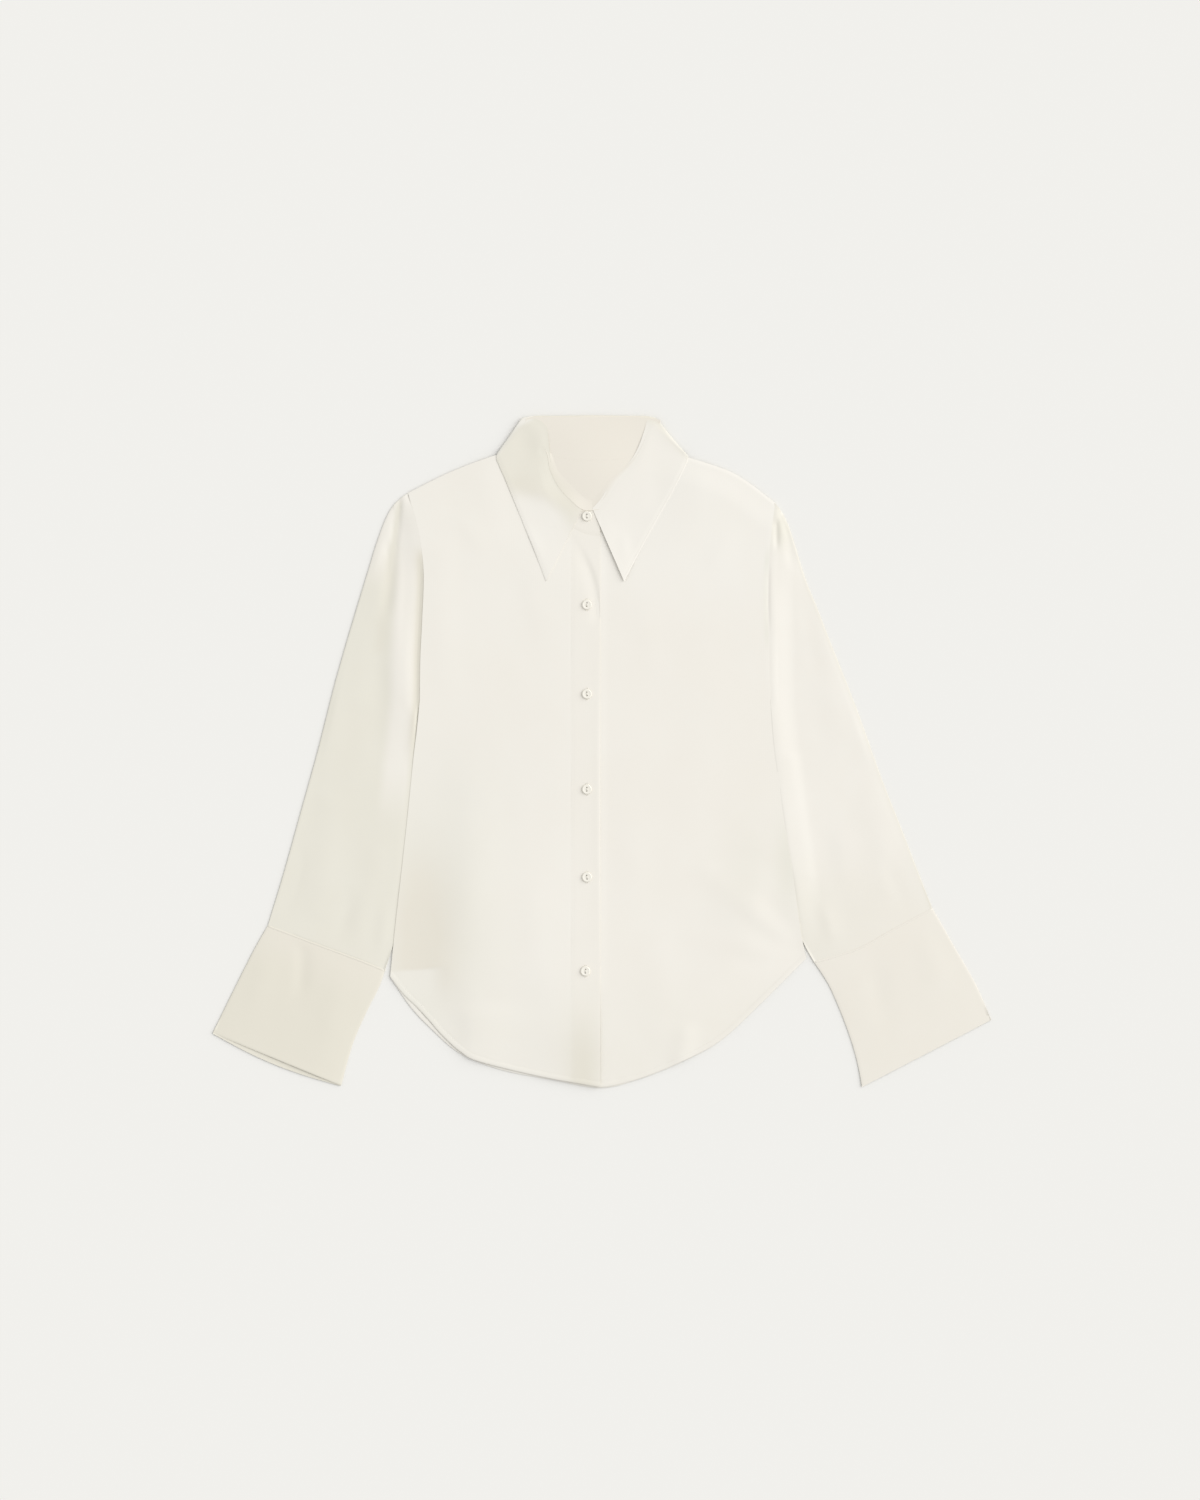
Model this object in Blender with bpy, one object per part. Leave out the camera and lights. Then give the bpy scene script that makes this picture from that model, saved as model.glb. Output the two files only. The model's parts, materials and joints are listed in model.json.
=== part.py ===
"""A long-sleeved silk blouse, buttoned and laid flat on its back.

The tables are in millimetres, in plan: +X to the right, +Y from the hem to the collar, seen from above.
Heights are in millimetres above the surface that the blouse lies on. The meshes are made in metres.
Each cut piece is one closed solid: the back, two fronts, a collar stand, a collar leaf, two sleeves,
two cuffs and six buttons. Left and right in the names are the wearer's, so right is at -X.
"""

import math

import bmesh
import bpy
from mathutils import Vector

MM = 0.001

# Cloth and how its layers lie.
WALL = 1.2  # body, sleeves and collar
CUFF_WALL = 1.5  # the doubled cloth of a cuff
SEAM_GAP = 0.3  # between two cut edges that are sewn together
LAYER_GAP = 0.4  # between a layer and the one under it
LAYER = WALL + LAYER_GAP
PLACKET_STEP = 1.7  # how far the right front climbs to lie on the left one

# The body's plan.
FRONT_EDGE_X = -2.0  # edge of the right front, which buttons over
UNDER_EDGE_X = -32.0  # edge of the left front, underneath
BUTTON_X = -16.0
PLACKET_CLIMB = {"from": 38, "over": 26}  # where the right front starts to climb, beyond the left one's edge
NECK_STEPS = 6  # points along each third of the neckline, shared by panels and stand

RIGHT_SHOULDER = [(-205.5, 274), (-161, 296), (-112.5, 314), (-75.5, 323)]
LEFT_SHOULDER = [(56.5, 323), (93.5, 311), (141, 294), (183.5, 263.5)]
RIGHT_ARMHOLE = [(-205.5, 274), (-195, 235), (-189, 192), (-190.5, 139), (-192.5, 97), (-193, 54.5)]
LEFT_ARMHOLE = [(183.5, 263.5), (180, 235), (177, 203), (176, 160), (177, 118), (178, 54.5)]
# Down each side the sleeve's inner fold shows and the body's edge runs hidden under it.
RIGHT_SIDE = [(-193, 54.5), (-196, 22), (-199.5, -9), (-206, -73), (-213, -136), (-219, -189), (-224.5, -239)]
LEFT_SIDE = [(178, 54.5), (181, 22), (184.5, -9), (193, -73), (202.5, -136), (210, -189), (216.5, -219)]
UNDER_SLEEVE = (-0.6, -0.6, 3.0, 5.0, 5.0, 5.0, 0.0)  # how far under, at each point of a side
RIGHT_NECK = [(-75.5, 323), (-73, 298), (-62.5, 272), (-44.5, 248.5), (-21, 231.5), (FRONT_EDGE_X, 228)]
LEFT_NECK = [(56.5, 323), (54, 298), (43.5, 272), (25, 248.5), (-2, 231.5), (UNDER_EDGE_X, 228)]
BACK_NECK = [(-75.5, 323), (-44.5, 313.5), (-9.5, 311), (25.5, 313.5), (56.5, 323)]
BACK_HEM = [
    (-224.5, -239), (-203.5, -270), (-182, -293), (-150.5, -320), (-108, -337), (-55, -347.5),
    (-2, -356.5), (40, -347), (82.5, -330), (125, -307), (167.5, -268), (216.5, -219),
]
RIGHT_HEM = [
    (-224.5, -239), (-209, -257), (-193, -274), (-171.5, -296), (-129.5, -325), (-66, -339.5),
    (FRONT_EDGE_X, -351.5),
]
LEFT_HEM = [(UNDER_EDGE_X, -346.5), (0, -352.5), (40, -345), (82.5, -328), (125, -305), (167.5, -266.5), (216.5, -219)]

# The sleeves' outer folds, and the cuffs.
RIGHT_FOLD = [
    (-205.5, 274), (-214, 268), (-222.5, 259), (-230, 245), (-239.5, 219), (-246.5, 196), (-262, 145),
    (-282, 76), (-301, 1.5), (-320, -67), (-337, -128), (-354, -184),
]
LEFT_FOLD = [
    (183.5, 263.5), (192.5, 250.5), (199.5, 234.5), (205, 217), (216, 182), (228, 152), (242, 116),
    (270, 45), (295, -25), (318.5, -85), (339, -138), (350, -166),
]
RIGHT_CUFF_SEAM = [(-354, -184), (-304, -203), (-258, -220), (-230, -231.5)]
LEFT_CUFF_SEAM = [(350, -166), (310, -187), (272, -208), (224.5, -223)]
RIGHT_CUFF_FOLD = [(-354, -184), (-370, -212.5), (-396.5, -265.5), (-412.5, -298.5)]
LEFT_CUFF_FOLD = [(350, -166), (360.5, -184), (374, -208), (396.5, -247.5), (412.5, -284.5)]
RIGHT_CUFF_INNER = [(-230, -231.5), (-236, -249), (-250, -277), (-264.5, -311), (-276.5, -354)]
LEFT_CUFF_INNER = [(224.5, -223), (234, -237), (244, -255), (259.5, -293), (270, -327), (275.5, -355.5)]

# Soft folds laid in the cloth: two ends in plan, half width and height.
BODY_FOLDS = [
    # x0, y0, x1, y1, width, height
    (-178, 215, -176, 70, 14, 1.4),
    (164, 225, 164, 70, 14, 1.2),
    (-138, -40, -146, -190, 18, 1.2),
    (-96, 150, -90, -60, 22, 0.8),
    (112, 120, 96, -90, 24, 0.9),
    (186, -196, 112, -128, 13, 1.5),
    (172, -216, 96, -196, 12, 1.0),
    (-186, -150, -162, -214, 12, 1.5),
    (60, -200, 64, -300, 18, 0.8),
]
SLEEVE_FOLDS = [
    (-213, 222, -201, 0, 11, 2.2),
    (-238, 170, -258, 60, 14, 1.1),
    (-286, -60, -300, -165, 14, 1.2),
    (-238, -110, -262, -206, 12, 1.0),
    (188, 118, 201, -10, 11, 2.2),
    (201, -10, 220, -130, 11, 1.8),
    (226, 122, 258, 20, 14, 1.1),
    (286, -50, 306, -140, 14, 1.2),
    (250, -100, 246, -190, 12, 1.0),
]

# A sleeve's section: flat below, folded round at both sides.
FOLD_RADIUS = 1.9
CUFF_FOLD_RADIUS = 2.1
FOLD_ANGLES = (-50, 0, 50)
SLEEVE_COLUMNS = 7
SLEEVE_RINGS = 17
RING_CROWDING = 1.3  # rings stand closer together near the armhole
BOWED = 0.4  # share of a sleeve, at each end, whose sections are bowed like the seam there
SIDE_LIFT = 3.4  # height of the sleeve's underside where it lies on the body
LIFT_REACHED = 0.11  # share of the sleeve's length by which its inner fold has climbed onto the body
LIFT_ACROSS = {"from": 0.66, "over": 0.25}  # shares of the way from the outer fold to the inner one
CUFF_RINGS = 5
CUFF_GAP = 0.4  # between the sleeve's end and the cuff
CUFF_PEEK = 6.0  # the right cuff's under layer shows this far below the upper one
PEEK_FROM = 0.6  # share of the cuff's depth

NECK_MIDDLE = (-9.5, 285.0)
STAND_GAP = 0.4  # between the neckline's edge and the stand
STAND_SPREAD = 1.08  # the back's roll line is this much wider than its neckline

# The collar: a row for each place round the neck, from the right front's end to the left one's.
# Roll is the top of the stand, where the leaf turns over.
STAND_RIGHT = [
    # along the neckline from the shoulder, roll x, roll y, height at neckline, height at roll
    (1.0, -3.0, 256.0, 3.9, 6.2),
    (5 / 6, -20.0, 256.0, 3.9, 6.6),
    (4 / 6, -35.0, 266.0, 3.9, 7.6),
    (3 / 6, -48.0, 280.5, 3.0, 8.4),
    (2 / 6, -56.5, 299.0, 3.2, 8.8),
    (1 / 6, -61.0, 320.0, 4.0, 8.8),
]
STAND_LEFT = [
    (1 / 6, 47.5, 326.0, 4.0, 8.8),
    (2 / 6, 36.0, 305.0, 3.2, 8.8),
    (3 / 6, 19.5, 285.5, 2.6, 8.4),
    (4 / 6, 5.5, 267.0, 2.4, 7.2),
    (5 / 6, -12.0, 255.5, 2.2, 4.2),
    (1.0, -30.0, 254.5, 2.2, 2.8),
]
STAND_RIGHT_FOLD = [
    # neck x, neck y, roll x, roll y, height at neckline, height at roll
    (-75.0, 325.0, -76.0, 347.5, 5.2, 8.2),
    (-77.5, 326.0, -81.0, 349.5, 3.7, 5.6),
    (-75.0, 325.5, -76.5, 349.5, 2.2, 3.2),
]
STAND_BACK_ROLL_Y = 350.5
STAND_BACK_HEIGHTS = (2.2, 3.2)
STAND_LEFT_FOLD = [
    (56.0, 325.5, 52.0, 349.5, 2.2, 3.2),
    (58.5, 326.0, 56.0, 349.5, 3.7, 5.6),
    (56.0, 325.0, 51.0, 347.0, 5.2, 8.2),
]
STAND_ROWS = (0.0, 0.35, 0.7, 1.0)

LEAF_GAP = 0.7  # between the leaf and the fronts, whose slopes it crosses

LEAF = [
    # roll x, roll y, roll height, edge x, edge y, edge height over what it lies on, back part
    (-22.0, 255.0, 9.4, -59.5, 180.0, 0.0, 0.0),
    (-28.5, 260.5, 10.2, -66.0, 197.5, 0.0, 0.0),
    (-36.5, 268.5, 10.8, -73.5, 217.0, 0.0, 0.0),
    (-44.0, 277.0, 11.4, -81.0, 235.0, 0.0, 0.0),
    (-50.5, 286.5, 11.8, -88.5, 253.5, 0.0, 0.0),
    (-54.5, 300.0, 12.0, -96.5, 273.0, 0.0, 0.0),
    (-57.5, 322.0, 12.0, -103.5, 290.0, 0.0, 0.0),
    (-60.5, 343.5, 11.6, -109.5, 303.5, 0.3, 0.0),
    (-73.0, 351.5, 11.0, -112.0, 312.0, 0.6, 0.0),
    (-85.5, 352.0, 6.0, -107.0, 320.5, 0.0, 0.5),
    (-74.0, 354.5, 5.4, -99.0, 319.5, 0.0, 1.0),
    (-54.0, 355.0, 5.4, -80.0, 303.0, 0.0, 1.0),
    (-32.0, 355.2, 5.4, -45.0, 299.0, 0.0, 1.0),
    (-9.5, 355.5, 5.4, -9.5, 298.0, 0.0, 1.0),
    (14.0, 355.2, 5.4, 26.0, 299.0, 0.0, 1.0),
    (34.0, 355.0, 5.4, 60.0, 303.0, 0.0, 1.0),
    (48.0, 354.5, 5.4, 75.0, 319.5, 0.0, 1.0),
    (58.5, 352.0, 6.0, 83.0, 320.0, 0.0, 0.5),
    (50.0, 350.5, 11.0, 91.0, 312.5, 0.6, 0.0),
    (46.5, 340.0, 11.8, 88.5, 302.0, 0.3, 0.0),
    (40.0, 322.0, 12.2, 80.0, 285.0, 0.0, 0.0),
    (31.0, 306.0, 12.4, 70.5, 267.0, 0.0, 0.0),
    (14.5, 288.5, 12.4, 59.0, 246.5, 0.0, 0.0),
    (6.0, 275.5, 12.0, 47.5, 225.5, 0.0, 0.0),
    (-1.5, 264.5, 11.4, 35.5, 203.0, 0.0, 0.0),
    (-9.5, 256.0, 10.4, 23.5, 180.0, 0.0, 0.0),
]
# Across the leaf: share of the way from roll to edge, then how far out and how high it lies,
# on a front part that turns over the stand and on a back part that turns under it.
LEAF_ROWS = [
    # share, front out, front rise, back out, back rise
    (0.00, -1.0, 0.86, -2.0, 1.00),
    (0.02, 0.6, 0.97, 1.6, 0.62),
    (0.05, 0.6, 1.00, 1.2, 0.16),
    (0.14, 0.0, 0.92, 0.0, 0.0),
    (0.30, 0.0, 0.66, 0.0, 0.0),
    (0.50, 0.0, 0.28, 0.0, 0.0),
    (0.75, 0.0, 0.06, 0.0, 0.0),
    (1.00, 0.0, 0.00, 0.0, 0.0),
]

# The collar's back part lies under the shoulders, which pass over it.
COLLAR_BED = {"x0": -116, "x1": 97, "y0": 296, "slope": 58}

BUTTON_DIAMETER = 10.5
BUTTON_THICKNESS = 2.2
BUTTON_DISH = 1.7  # thickness inside the raised rim
BUTTON_PROFILE = [
    # inset from the edge, height, from the underside up and over the rim into the dish
    (1.5, 0.0), (0.0, 0.9), (0.0, 1.4), (0.35, BUTTON_THICKNESS), (1.1, BUTTON_THICKNESS), (1.9, BUTTON_DISH),
]
BUTTON_HOLE = 1.7
BUTTON_HOLE_PITCH = 3.4
BUTTON_SIDES = 20
HOLE_SIDES = 8
PLACKET_BUTTONS_Y = (155.5, 61.0, -40.0, -133.0, -232.5)
STAND_BUTTON = {"y": 249.5, "under": 6.9, "tilt": 5.0}

SILK = {"name": "silk", "color": (0.87, 0.84, 0.75, 1.0), "roughness": 0.42}
PEARL = {"name": "pearl", "color": (0.80, 0.77, 0.68, 1.0), "roughness": 0.28}


def smooth(value):
    """0 below 0, 1 above 1, with level ends."""
    value = min(1.0, max(0.0, value))
    return value * value * (3 - 2 * value)


def through(points, samples=10):
    """Close points on a smooth curve that passes through the given ones."""
    ends = [points[0]] + list(points) + [points[-1]]
    found = []
    for before, start, stop, after in zip(ends, ends[1:], ends[2:], ends[3:]):
        for step in range(samples):
            t = step / samples
            found.append(tuple(
                0.5 * (2 * b + (c - a) * t + (2 * a - 5 * b + 4 * c - d) * t**2
                       + (3 * b - a - 3 * c + d) * t**3)
                for a, b, c, d in zip(before, start, stop, after)
            ))
    found.append(tuple(points[-1]))
    return found


class Edge:
    """A seam or an edge in plan, as smooth runs joined at corners. Each run takes a share of 0 to 1."""

    def __init__(self, runs, shares=(1.0,)):
        self.runs = []
        start = 0.0
        for points, share in zip(runs, shares):
            fine = through(points)
            lengths = [0.0]
            for a, b in zip(fine, fine[1:]):
                lengths.append(lengths[-1] + math.dist(a, b))
            self.runs.append((start, start + share, fine, lengths))
            start += share

    def at(self, t):
        for start, stop, fine, lengths in self.runs:
            if t <= stop + 1e-9:
                break
        along = lengths[-1] * min(1.0, max(0.0, (t - start) / (stop - start)))
        for i in range(1, len(lengths)):
            if lengths[i] >= along:
                break
        part = (along - lengths[i - 1]) / max(1e-9, lengths[i] - lengths[i - 1])
        return tuple(a + (b - a) * part for a, b in zip(fine[i - 1], fine[i]))


def shifted(points, dx):
    return [(x + dx, y) for x, y in points]


def hidden_side(points, side):
    """The body's edge below the armhole, which runs under the sleeve. side is 1 at -X and -1 at +X."""
    return [(x - side * under, y) for (x, y), under in zip(points, UNDER_SLEEVE)]


def fold_height(folds, x, y):
    """Height that the soft folds of a table add at a place."""
    total = 0.0
    for x0, y0, x1, y1, width, height in folds:
        dx, dy = x1 - x0, y1 - y0
        along = ((x - x0) * dx + (y - y0) * dy) / (dx * dx + dy * dy)
        along = min(1.0, max(0.0, along))
        away = math.hypot(x - x0 - dx * along, y - y0 - dy * along)
        total += height * math.exp(-((away / width) ** 2))
    return total


def collar_lift(x, y):
    """How far the body is lifted where the back of the collar lies under it."""
    dx = max(COLLAR_BED["x0"] - x, 0, x - COLLAR_BED["x1"])
    dy = max(COLLAR_BED["y0"] - y, 0)
    return LAYER * smooth(1 - math.hypot(dx, dy) / COLLAR_BED["slope"])


def back_under(x, y):
    return collar_lift(x, y)


def left_front_under(x, y):
    return LAYER + collar_lift(x, y) + fold_height(BODY_FOLDS, x, y)


def right_front_under(x, y):
    climb = smooth((x - (UNDER_EDGE_X - PLACKET_CLIMB["from"])) / PLACKET_CLIMB["over"])
    return left_front_under(x, y) + PLACKET_STEP * climb


def fronts_top(x, y):
    """Upper face of whichever front lies on top."""
    under = right_front_under if x < FRONT_EDGE_X else left_front_under
    return under(x, y) + WALL


# Solids.


def material(spec):
    made = bpy.data.materials.get(spec["name"]) or bpy.data.materials.new(spec["name"])
    made.use_nodes = True
    shader = made.node_tree.nodes["Principled BSDF"]
    shader.inputs["Base Color"].default_value = spec["color"]
    shader.inputs["Roughness"].default_value = spec["roughness"]
    shader.inputs["Metallic"].default_value = 0.0
    return made


def add_object(name, points, faces, spec):
    """A named object from millimetre points."""
    mesh = bpy.data.meshes.new(name)
    mesh.from_pydata([Vector(p) * MM for p in points], [], faces)
    mesh.validate()
    work = bmesh.new()
    work.from_mesh(mesh)
    bmesh.ops.recalc_face_normals(work, faces=work.faces)
    work.to_mesh(mesh)
    work.free()
    mesh.shade_smooth()
    mesh.set_sharp_from_angle(angle=math.radians(40))
    made = bpy.data.objects.new(name, mesh)
    made.data.materials.append(material(spec))
    bpy.context.scene.collection.objects.link(made)
    return made


def closed_sheet(name, upper, lower, spec):
    """A wall between two grids of the same size, closed round its edge."""
    rows, columns = len(upper), len(upper[0])
    points = [p for row in upper for p in row] + [p for row in lower for p in row]
    below = rows * columns
    faces = []
    for i in range(rows - 1):
        for j in range(columns - 1):
            a, b = i * columns + j, i * columns + j + 1
            c, d = b + columns, a + columns
            faces.append((a, d, c, b))
            faces.append((below + a, below + b, below + c, below + d))
    rim = list(range(columns))
    rim += [i * columns + columns - 1 for i in range(1, rows)]
    rim += [(rows - 1) * columns + j for j in range(columns - 2, -1, -1)]
    rim += [i * columns for i in range(rows - 2, 0, -1)]
    for a, b in zip(rim, rim[1:] + rim[:1]):
        faces.append((a, b, below + b, below + a))
    return add_object(name, points, faces, spec)


def patch(top, bottom, left, right, across, down):
    """Plan points of a four-sided panel, filled in between its four edges."""
    corners = (top.at(0), top.at(1), bottom.at(0), bottom.at(1))
    rows = []
    for v in down:
        row = []
        for u in across:
            row.append(tuple(
                (1 - v) * t + v * b + (1 - u) * lf + u * rt
                - (1 - u) * (1 - v) * c0 - u * (1 - v) * c1 - (1 - u) * v * c2 - u * v * c3
                for t, b, lf, rt, c0, c1, c2, c3 in zip(
                    top.at(u), bottom.at(u), left.at(v), right.at(v), *corners)
            ))
        rows.append(row)
    return rows


def panel(name, plan, under):
    """A cut panel that lies at the height that a function gives."""
    lower = [[(x, y, under(x, y)) for x, y in row] for row in plan]
    upper = [[(x, y, z + WALL) for x, y, z in row] for row in lower]
    return closed_sheet(name, upper, lower, SILK)


def steps(shares, counts):
    """Parameters that divide each share of 0 to 1 evenly."""
    found, start = [0.0], 0.0
    for share, count in zip(shares, counts):
        found += [start + share * (k + 1) / count for k in range(count)]
        start += share
    return found


NECK_SHARE = 0.2
ARMHOLE_SHARE = 0.42
SIDE_SHARES = (ARMHOLE_SHARE, 1 - ARMHOLE_SHARE)
NECK_SHARES = (NECK_SHARE, 1 - NECK_SHARE)
BACK_SHARES = (0.35, 0.3, 0.35)
FRONT_ROWS = steps((NECK_SHARE, ARMHOLE_SHARE - NECK_SHARE, 1 - ARMHOLE_SHARE), (NECK_STEPS, 6, 14))
PLACKET_COLUMNS = (0.0, 0.11, 0.22, 0.33, 0.44, 0.55, 0.65, 0.73, 0.79, 0.85, 0.92, 1.0)


def make_back():
    right_armhole = shifted(RIGHT_ARMHOLE, SEAM_GAP)
    left_armhole = shifted(LEFT_ARMHOLE, -SEAM_GAP)
    right_side = [right_armhole[-1]] + hidden_side(RIGHT_SIDE, 1)[1:]
    left_side = [left_armhole[-1]] + hidden_side(LEFT_SIDE, -1)[1:]
    shoulder_r = [right_armhole[0]] + RIGHT_SHOULDER[1:]
    shoulder_l = LEFT_SHOULDER[:-1] + [left_armhole[0]]
    hem = [right_side[-1]] + BACK_HEM[1:-1] + [left_side[-1]]
    plan = patch(
        Edge([shoulder_r, BACK_NECK, shoulder_l], BACK_SHARES),
        Edge([hem]),
        Edge([right_armhole, right_side], SIDE_SHARES),
        Edge([left_armhole, left_side], SIDE_SHARES),
        steps(BACK_SHARES, (8, NECK_STEPS, 8)),
        steps(SIDE_SHARES, (10, 13)),
    )
    return panel("back", plan, back_under)


def make_fronts():
    armhole = shifted(RIGHT_ARMHOLE, SEAM_GAP)
    side = [armhole[-1]] + hidden_side(RIGHT_SIDE, 1)[1:]
    right_plan = patch(
        Edge([[armhole[0]] + RIGHT_SHOULDER[1:]]),
        Edge([[side[-1]] + RIGHT_HEM[1:]]),
        Edge([armhole, side], SIDE_SHARES),
        Edge([RIGHT_NECK, [RIGHT_NECK[-1], RIGHT_HEM[-1]]], NECK_SHARES),
        PLACKET_COLUMNS,
        FRONT_ROWS,
    )
    armhole = shifted(LEFT_ARMHOLE, -SEAM_GAP)
    side = [armhole[-1]] + hidden_side(LEFT_SIDE, -1)[1:]
    left_plan = patch(
        Edge([LEFT_SHOULDER[:-1] + [armhole[0]]]),
        Edge([LEFT_HEM[:-1] + [side[-1]]]),
        Edge([LEFT_NECK, [LEFT_NECK[-1], LEFT_HEM[0]]], NECK_SHARES),
        Edge([armhole, side], SIDE_SHARES),
        [1 - u for u in reversed(PLACKET_COLUMNS)],
        FRONT_ROWS,
    )
    return [
        panel("front_right", right_plan, right_front_under),
        panel("front_left", left_plan, left_front_under),
    ]


def ring(path, lower, upper, radius, wall, columns):
    """Outer and inner points round a flattened tube, across a plan path of the given length.

    path gives the plan place at a share of the way across; lower and upper give outer heights there.
    """
    length = path["length"]
    across = [radius / length + (1 - 2 * radius / length) * k / columns for k in range(columns + 1)]

    def fold(turn, inset):
        for angle in (FOLD_ANGLES if turn > 0 else reversed(FOLD_ANGLES)):
            reach = (radius - inset) * math.cos(math.radians(angle))
            share = (radius - reach) / length
            share = share if turn > 0 else 1 - share
            base = lower(share) + radius
            yield share, base + (radius - inset) * math.sin(math.radians(angle))

    rings = []
    for inset in (0.0, wall):
        section = list(fold(1, inset))
        section += [(u, upper(u) - inset) for u in across]
        section += list(fold(-1, inset))
        section += [(u, lower(u) + inset) for u in reversed(across)]
        rings.append([(*path["at"](u), z) for u, z in section])
    return rings


def tube(name, rings, spec):
    """A solid wall between the outer and inner points of a row of rings, open at both ends."""
    count = len(rings[0][0])
    points = [p for outer, inner in rings for p in outer + inner]

    def index(r, side, k):
        return (2 * r + side) * count + k % count

    faces = []
    for r in range(len(rings) - 1):
        for k in range(count):
            for side in (0, 1):
                faces.append((index(r, side, k), index(r, side, k + 1),
                              index(r + 1, side, k + 1), index(r + 1, side, k)))
    for r in (0, len(rings) - 1):
        for k in range(count):
            faces.append((index(r, 0, k), index(r, 0, k + 1), index(r, 1, k + 1), index(r, 1, k)))
    return add_object(name, points, faces, spec)


def chord_path(outer, inner, bows):
    """A path across a sleeve from its outer fold to its inner one, bowed like the seams near it."""

    def at(share):
        x = outer[0] + (inner[0] - outer[0]) * share
        y = outer[1] + (inner[1] - outer[1]) * share
        for seam, amount in bows:
            on = seam.at(share)
            first, last = seam.at(0), seam.at(1)
            x += amount * (on[0] - first[0] - (last[0] - first[0]) * share)
            y += amount * (on[1] - first[1] - (last[1] - first[1]) * share)
        return x, y

    return {"at": at, "length": math.dist(outer, inner)}


def lift_at(share, lift):
    """Height of a sleeve's underside across it, where its inner fold lies on the body."""
    return lift * smooth((share - LIFT_ACROSS["from"]) / LIFT_ACROSS["over"])


def make_sleeve(name, side, armhole, fold, inner, seam):
    """side is 1 for the sleeve at -X, whose inner fold looks to +X, and -1 for the other."""
    armhole_edge = Edge([shifted(armhole, -SEAM_GAP * side)])
    fold_edge = Edge([[armhole_edge.at(0)] + fold[1:]])
    inner_edge = Edge([[armhole_edge.at(1)] + inner[1:-1] + [seam[-1]]])
    seam_edge = Edge([seam])
    rings = []
    for k in range(SLEEVE_RINGS + 1):
        down = (k / SLEEVE_RINGS) ** RING_CROWDING
        lift = SIDE_LIFT * smooth(down / LIFT_REACHED)
        path = chord_path(
            fold_edge.at(down),
            inner_edge.at(down),
            [
                (armhole_edge, max(0.0, 1 - down / BOWED) ** 2),
                (seam_edge, smooth(1 - (1 - down) / BOWED)),
            ],
        )

        def lower(share):
            return lift_at(share, lift)

        def upper(share):
            x, y = path["at"](share)
            rise = fold_height(SLEEVE_FOLDS, x, y) * smooth(share / 0.08) * smooth((1 - share) / 0.08)
            return lower(share) + 2 * FOLD_RADIUS + rise

        rings.append(ring(path, lower, upper, FOLD_RADIUS, WALL, SLEEVE_COLUMNS))
    return tube(name, rings, SILK)


def make_cuff(name, fold, inner, seam, peek):
    fold_edge, inner_edge, seam_edge = Edge([fold]), Edge([inner]), Edge([seam])
    cuff_depth = math.dist(fold[0], fold[-1])
    rings = []
    for k in range(CUFF_RINGS + 1):
        down = k / CUFF_RINGS
        start = CUFF_GAP / cuff_depth
        at = start + (1 - start) * down
        path = chord_path(fold_edge.at(at), inner_edge.at(at), [(seam_edge, (1 - down) ** 2)])
        lift = SIDE_LIFT * smooth(1 - down / 0.5)

        def lower(share):
            return lift_at(share, lift)

        def upper(share):
            return lower(share) + 2 * CUFF_FOLD_RADIUS

        outer, wall = ring(path, lower, upper, CUFF_FOLD_RADIUS, CUFF_WALL, SLEEVE_COLUMNS)
        (x0, y0), (x1, y1) = fold_edge.at(1), fold_edge.at(0.8)
        reach = math.dist((x0, y0), (x1, y1))
        pull = Vector(((x0 - x1) / reach, (y0 - y1) / reach, 0))
        first_under = 2 * len(FOLD_ANGLES) + SLEEVE_COLUMNS + 1
        for ring_points in (outer, wall):
            for j in range(SLEEVE_COLUMNS + 1):
                drop = peek * smooth((down - PEEK_FROM) / (1 - PEEK_FROM))
                drop *= math.sin(math.pi * (j + 0.6) / (SLEEVE_COLUMNS + 1.2))
                moved = Vector(ring_points[first_under + j]) + pull * drop
                ring_points[first_under + j] = tuple(moved)
        rings.append([outer, wall])
    return tube(name, rings, SILK)


def offset_sheet(name, grid, wall):
    """A wall on both sides of a grid of middle points, along its normals."""
    rows, columns = len(grid), len(grid[0])
    upper, lower = [], []
    for i in range(rows):
        upper.append([])
        lower.append([])
        for j in range(columns):
            along = grid[min(i + 1, rows - 1)][j] - grid[max(i - 1, 0)][j]
            across = grid[i][min(j + 1, columns - 1)] - grid[i][max(j - 1, 0)]
            normal = along.cross(across).normalized()
            upper[-1].append(grid[i][j] + normal * wall / 2)
            lower[-1].append(grid[i][j] - normal * wall / 2)
    return closed_sheet(name, upper, lower, SILK)


def inward(point):
    """A neckline point moved by the stand's gap towards the middle of the neck."""
    away = (Vector(NECK_MIDDLE) - Vector(point)).normalized()
    return Vector(point) + away * STAND_GAP


def make_stand():
    """Band of the collar, from its right front end round the back to its left one."""
    right_neck, left_neck, back_neck = Edge([RIGHT_NECK]), Edge([LEFT_NECK]), Edge([BACK_NECK])
    rows = []
    for t, x, y, low, high in STAND_RIGHT:
        rows.append((*inward(right_neck.at(t)), low, x, y, high))
    for nx, ny, x, y, low, high in STAND_RIGHT_FOLD:
        rows.append((nx, ny, low, x, y, high))
    for k in range(1, NECK_STEPS):
        nx, ny = back_neck.at(k / NECK_STEPS)
        low, high = STAND_BACK_HEIGHTS
        roll_x = NECK_MIDDLE[0] + (nx - NECK_MIDDLE[0]) * STAND_SPREAD
        rows.append((nx, ny + STAND_GAP, low, roll_x, STAND_BACK_ROLL_Y, high))
    for nx, ny, x, y, low, high in STAND_LEFT_FOLD:
        rows.append((nx, ny, low, x, y, high))
    for t, x, y, low, high in STAND_LEFT:
        rows.append((*inward(left_neck.at(t)), low, x, y, high))
    grid = []
    for nx, ny, low, x, y, high in rows:
        start, stop = Vector((nx, ny, low)), Vector((x, y, high))
        grid.append([start.lerp(stop, share) for share in STAND_ROWS])
    return offset_sheet("collar_stand", grid, WALL)


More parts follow.
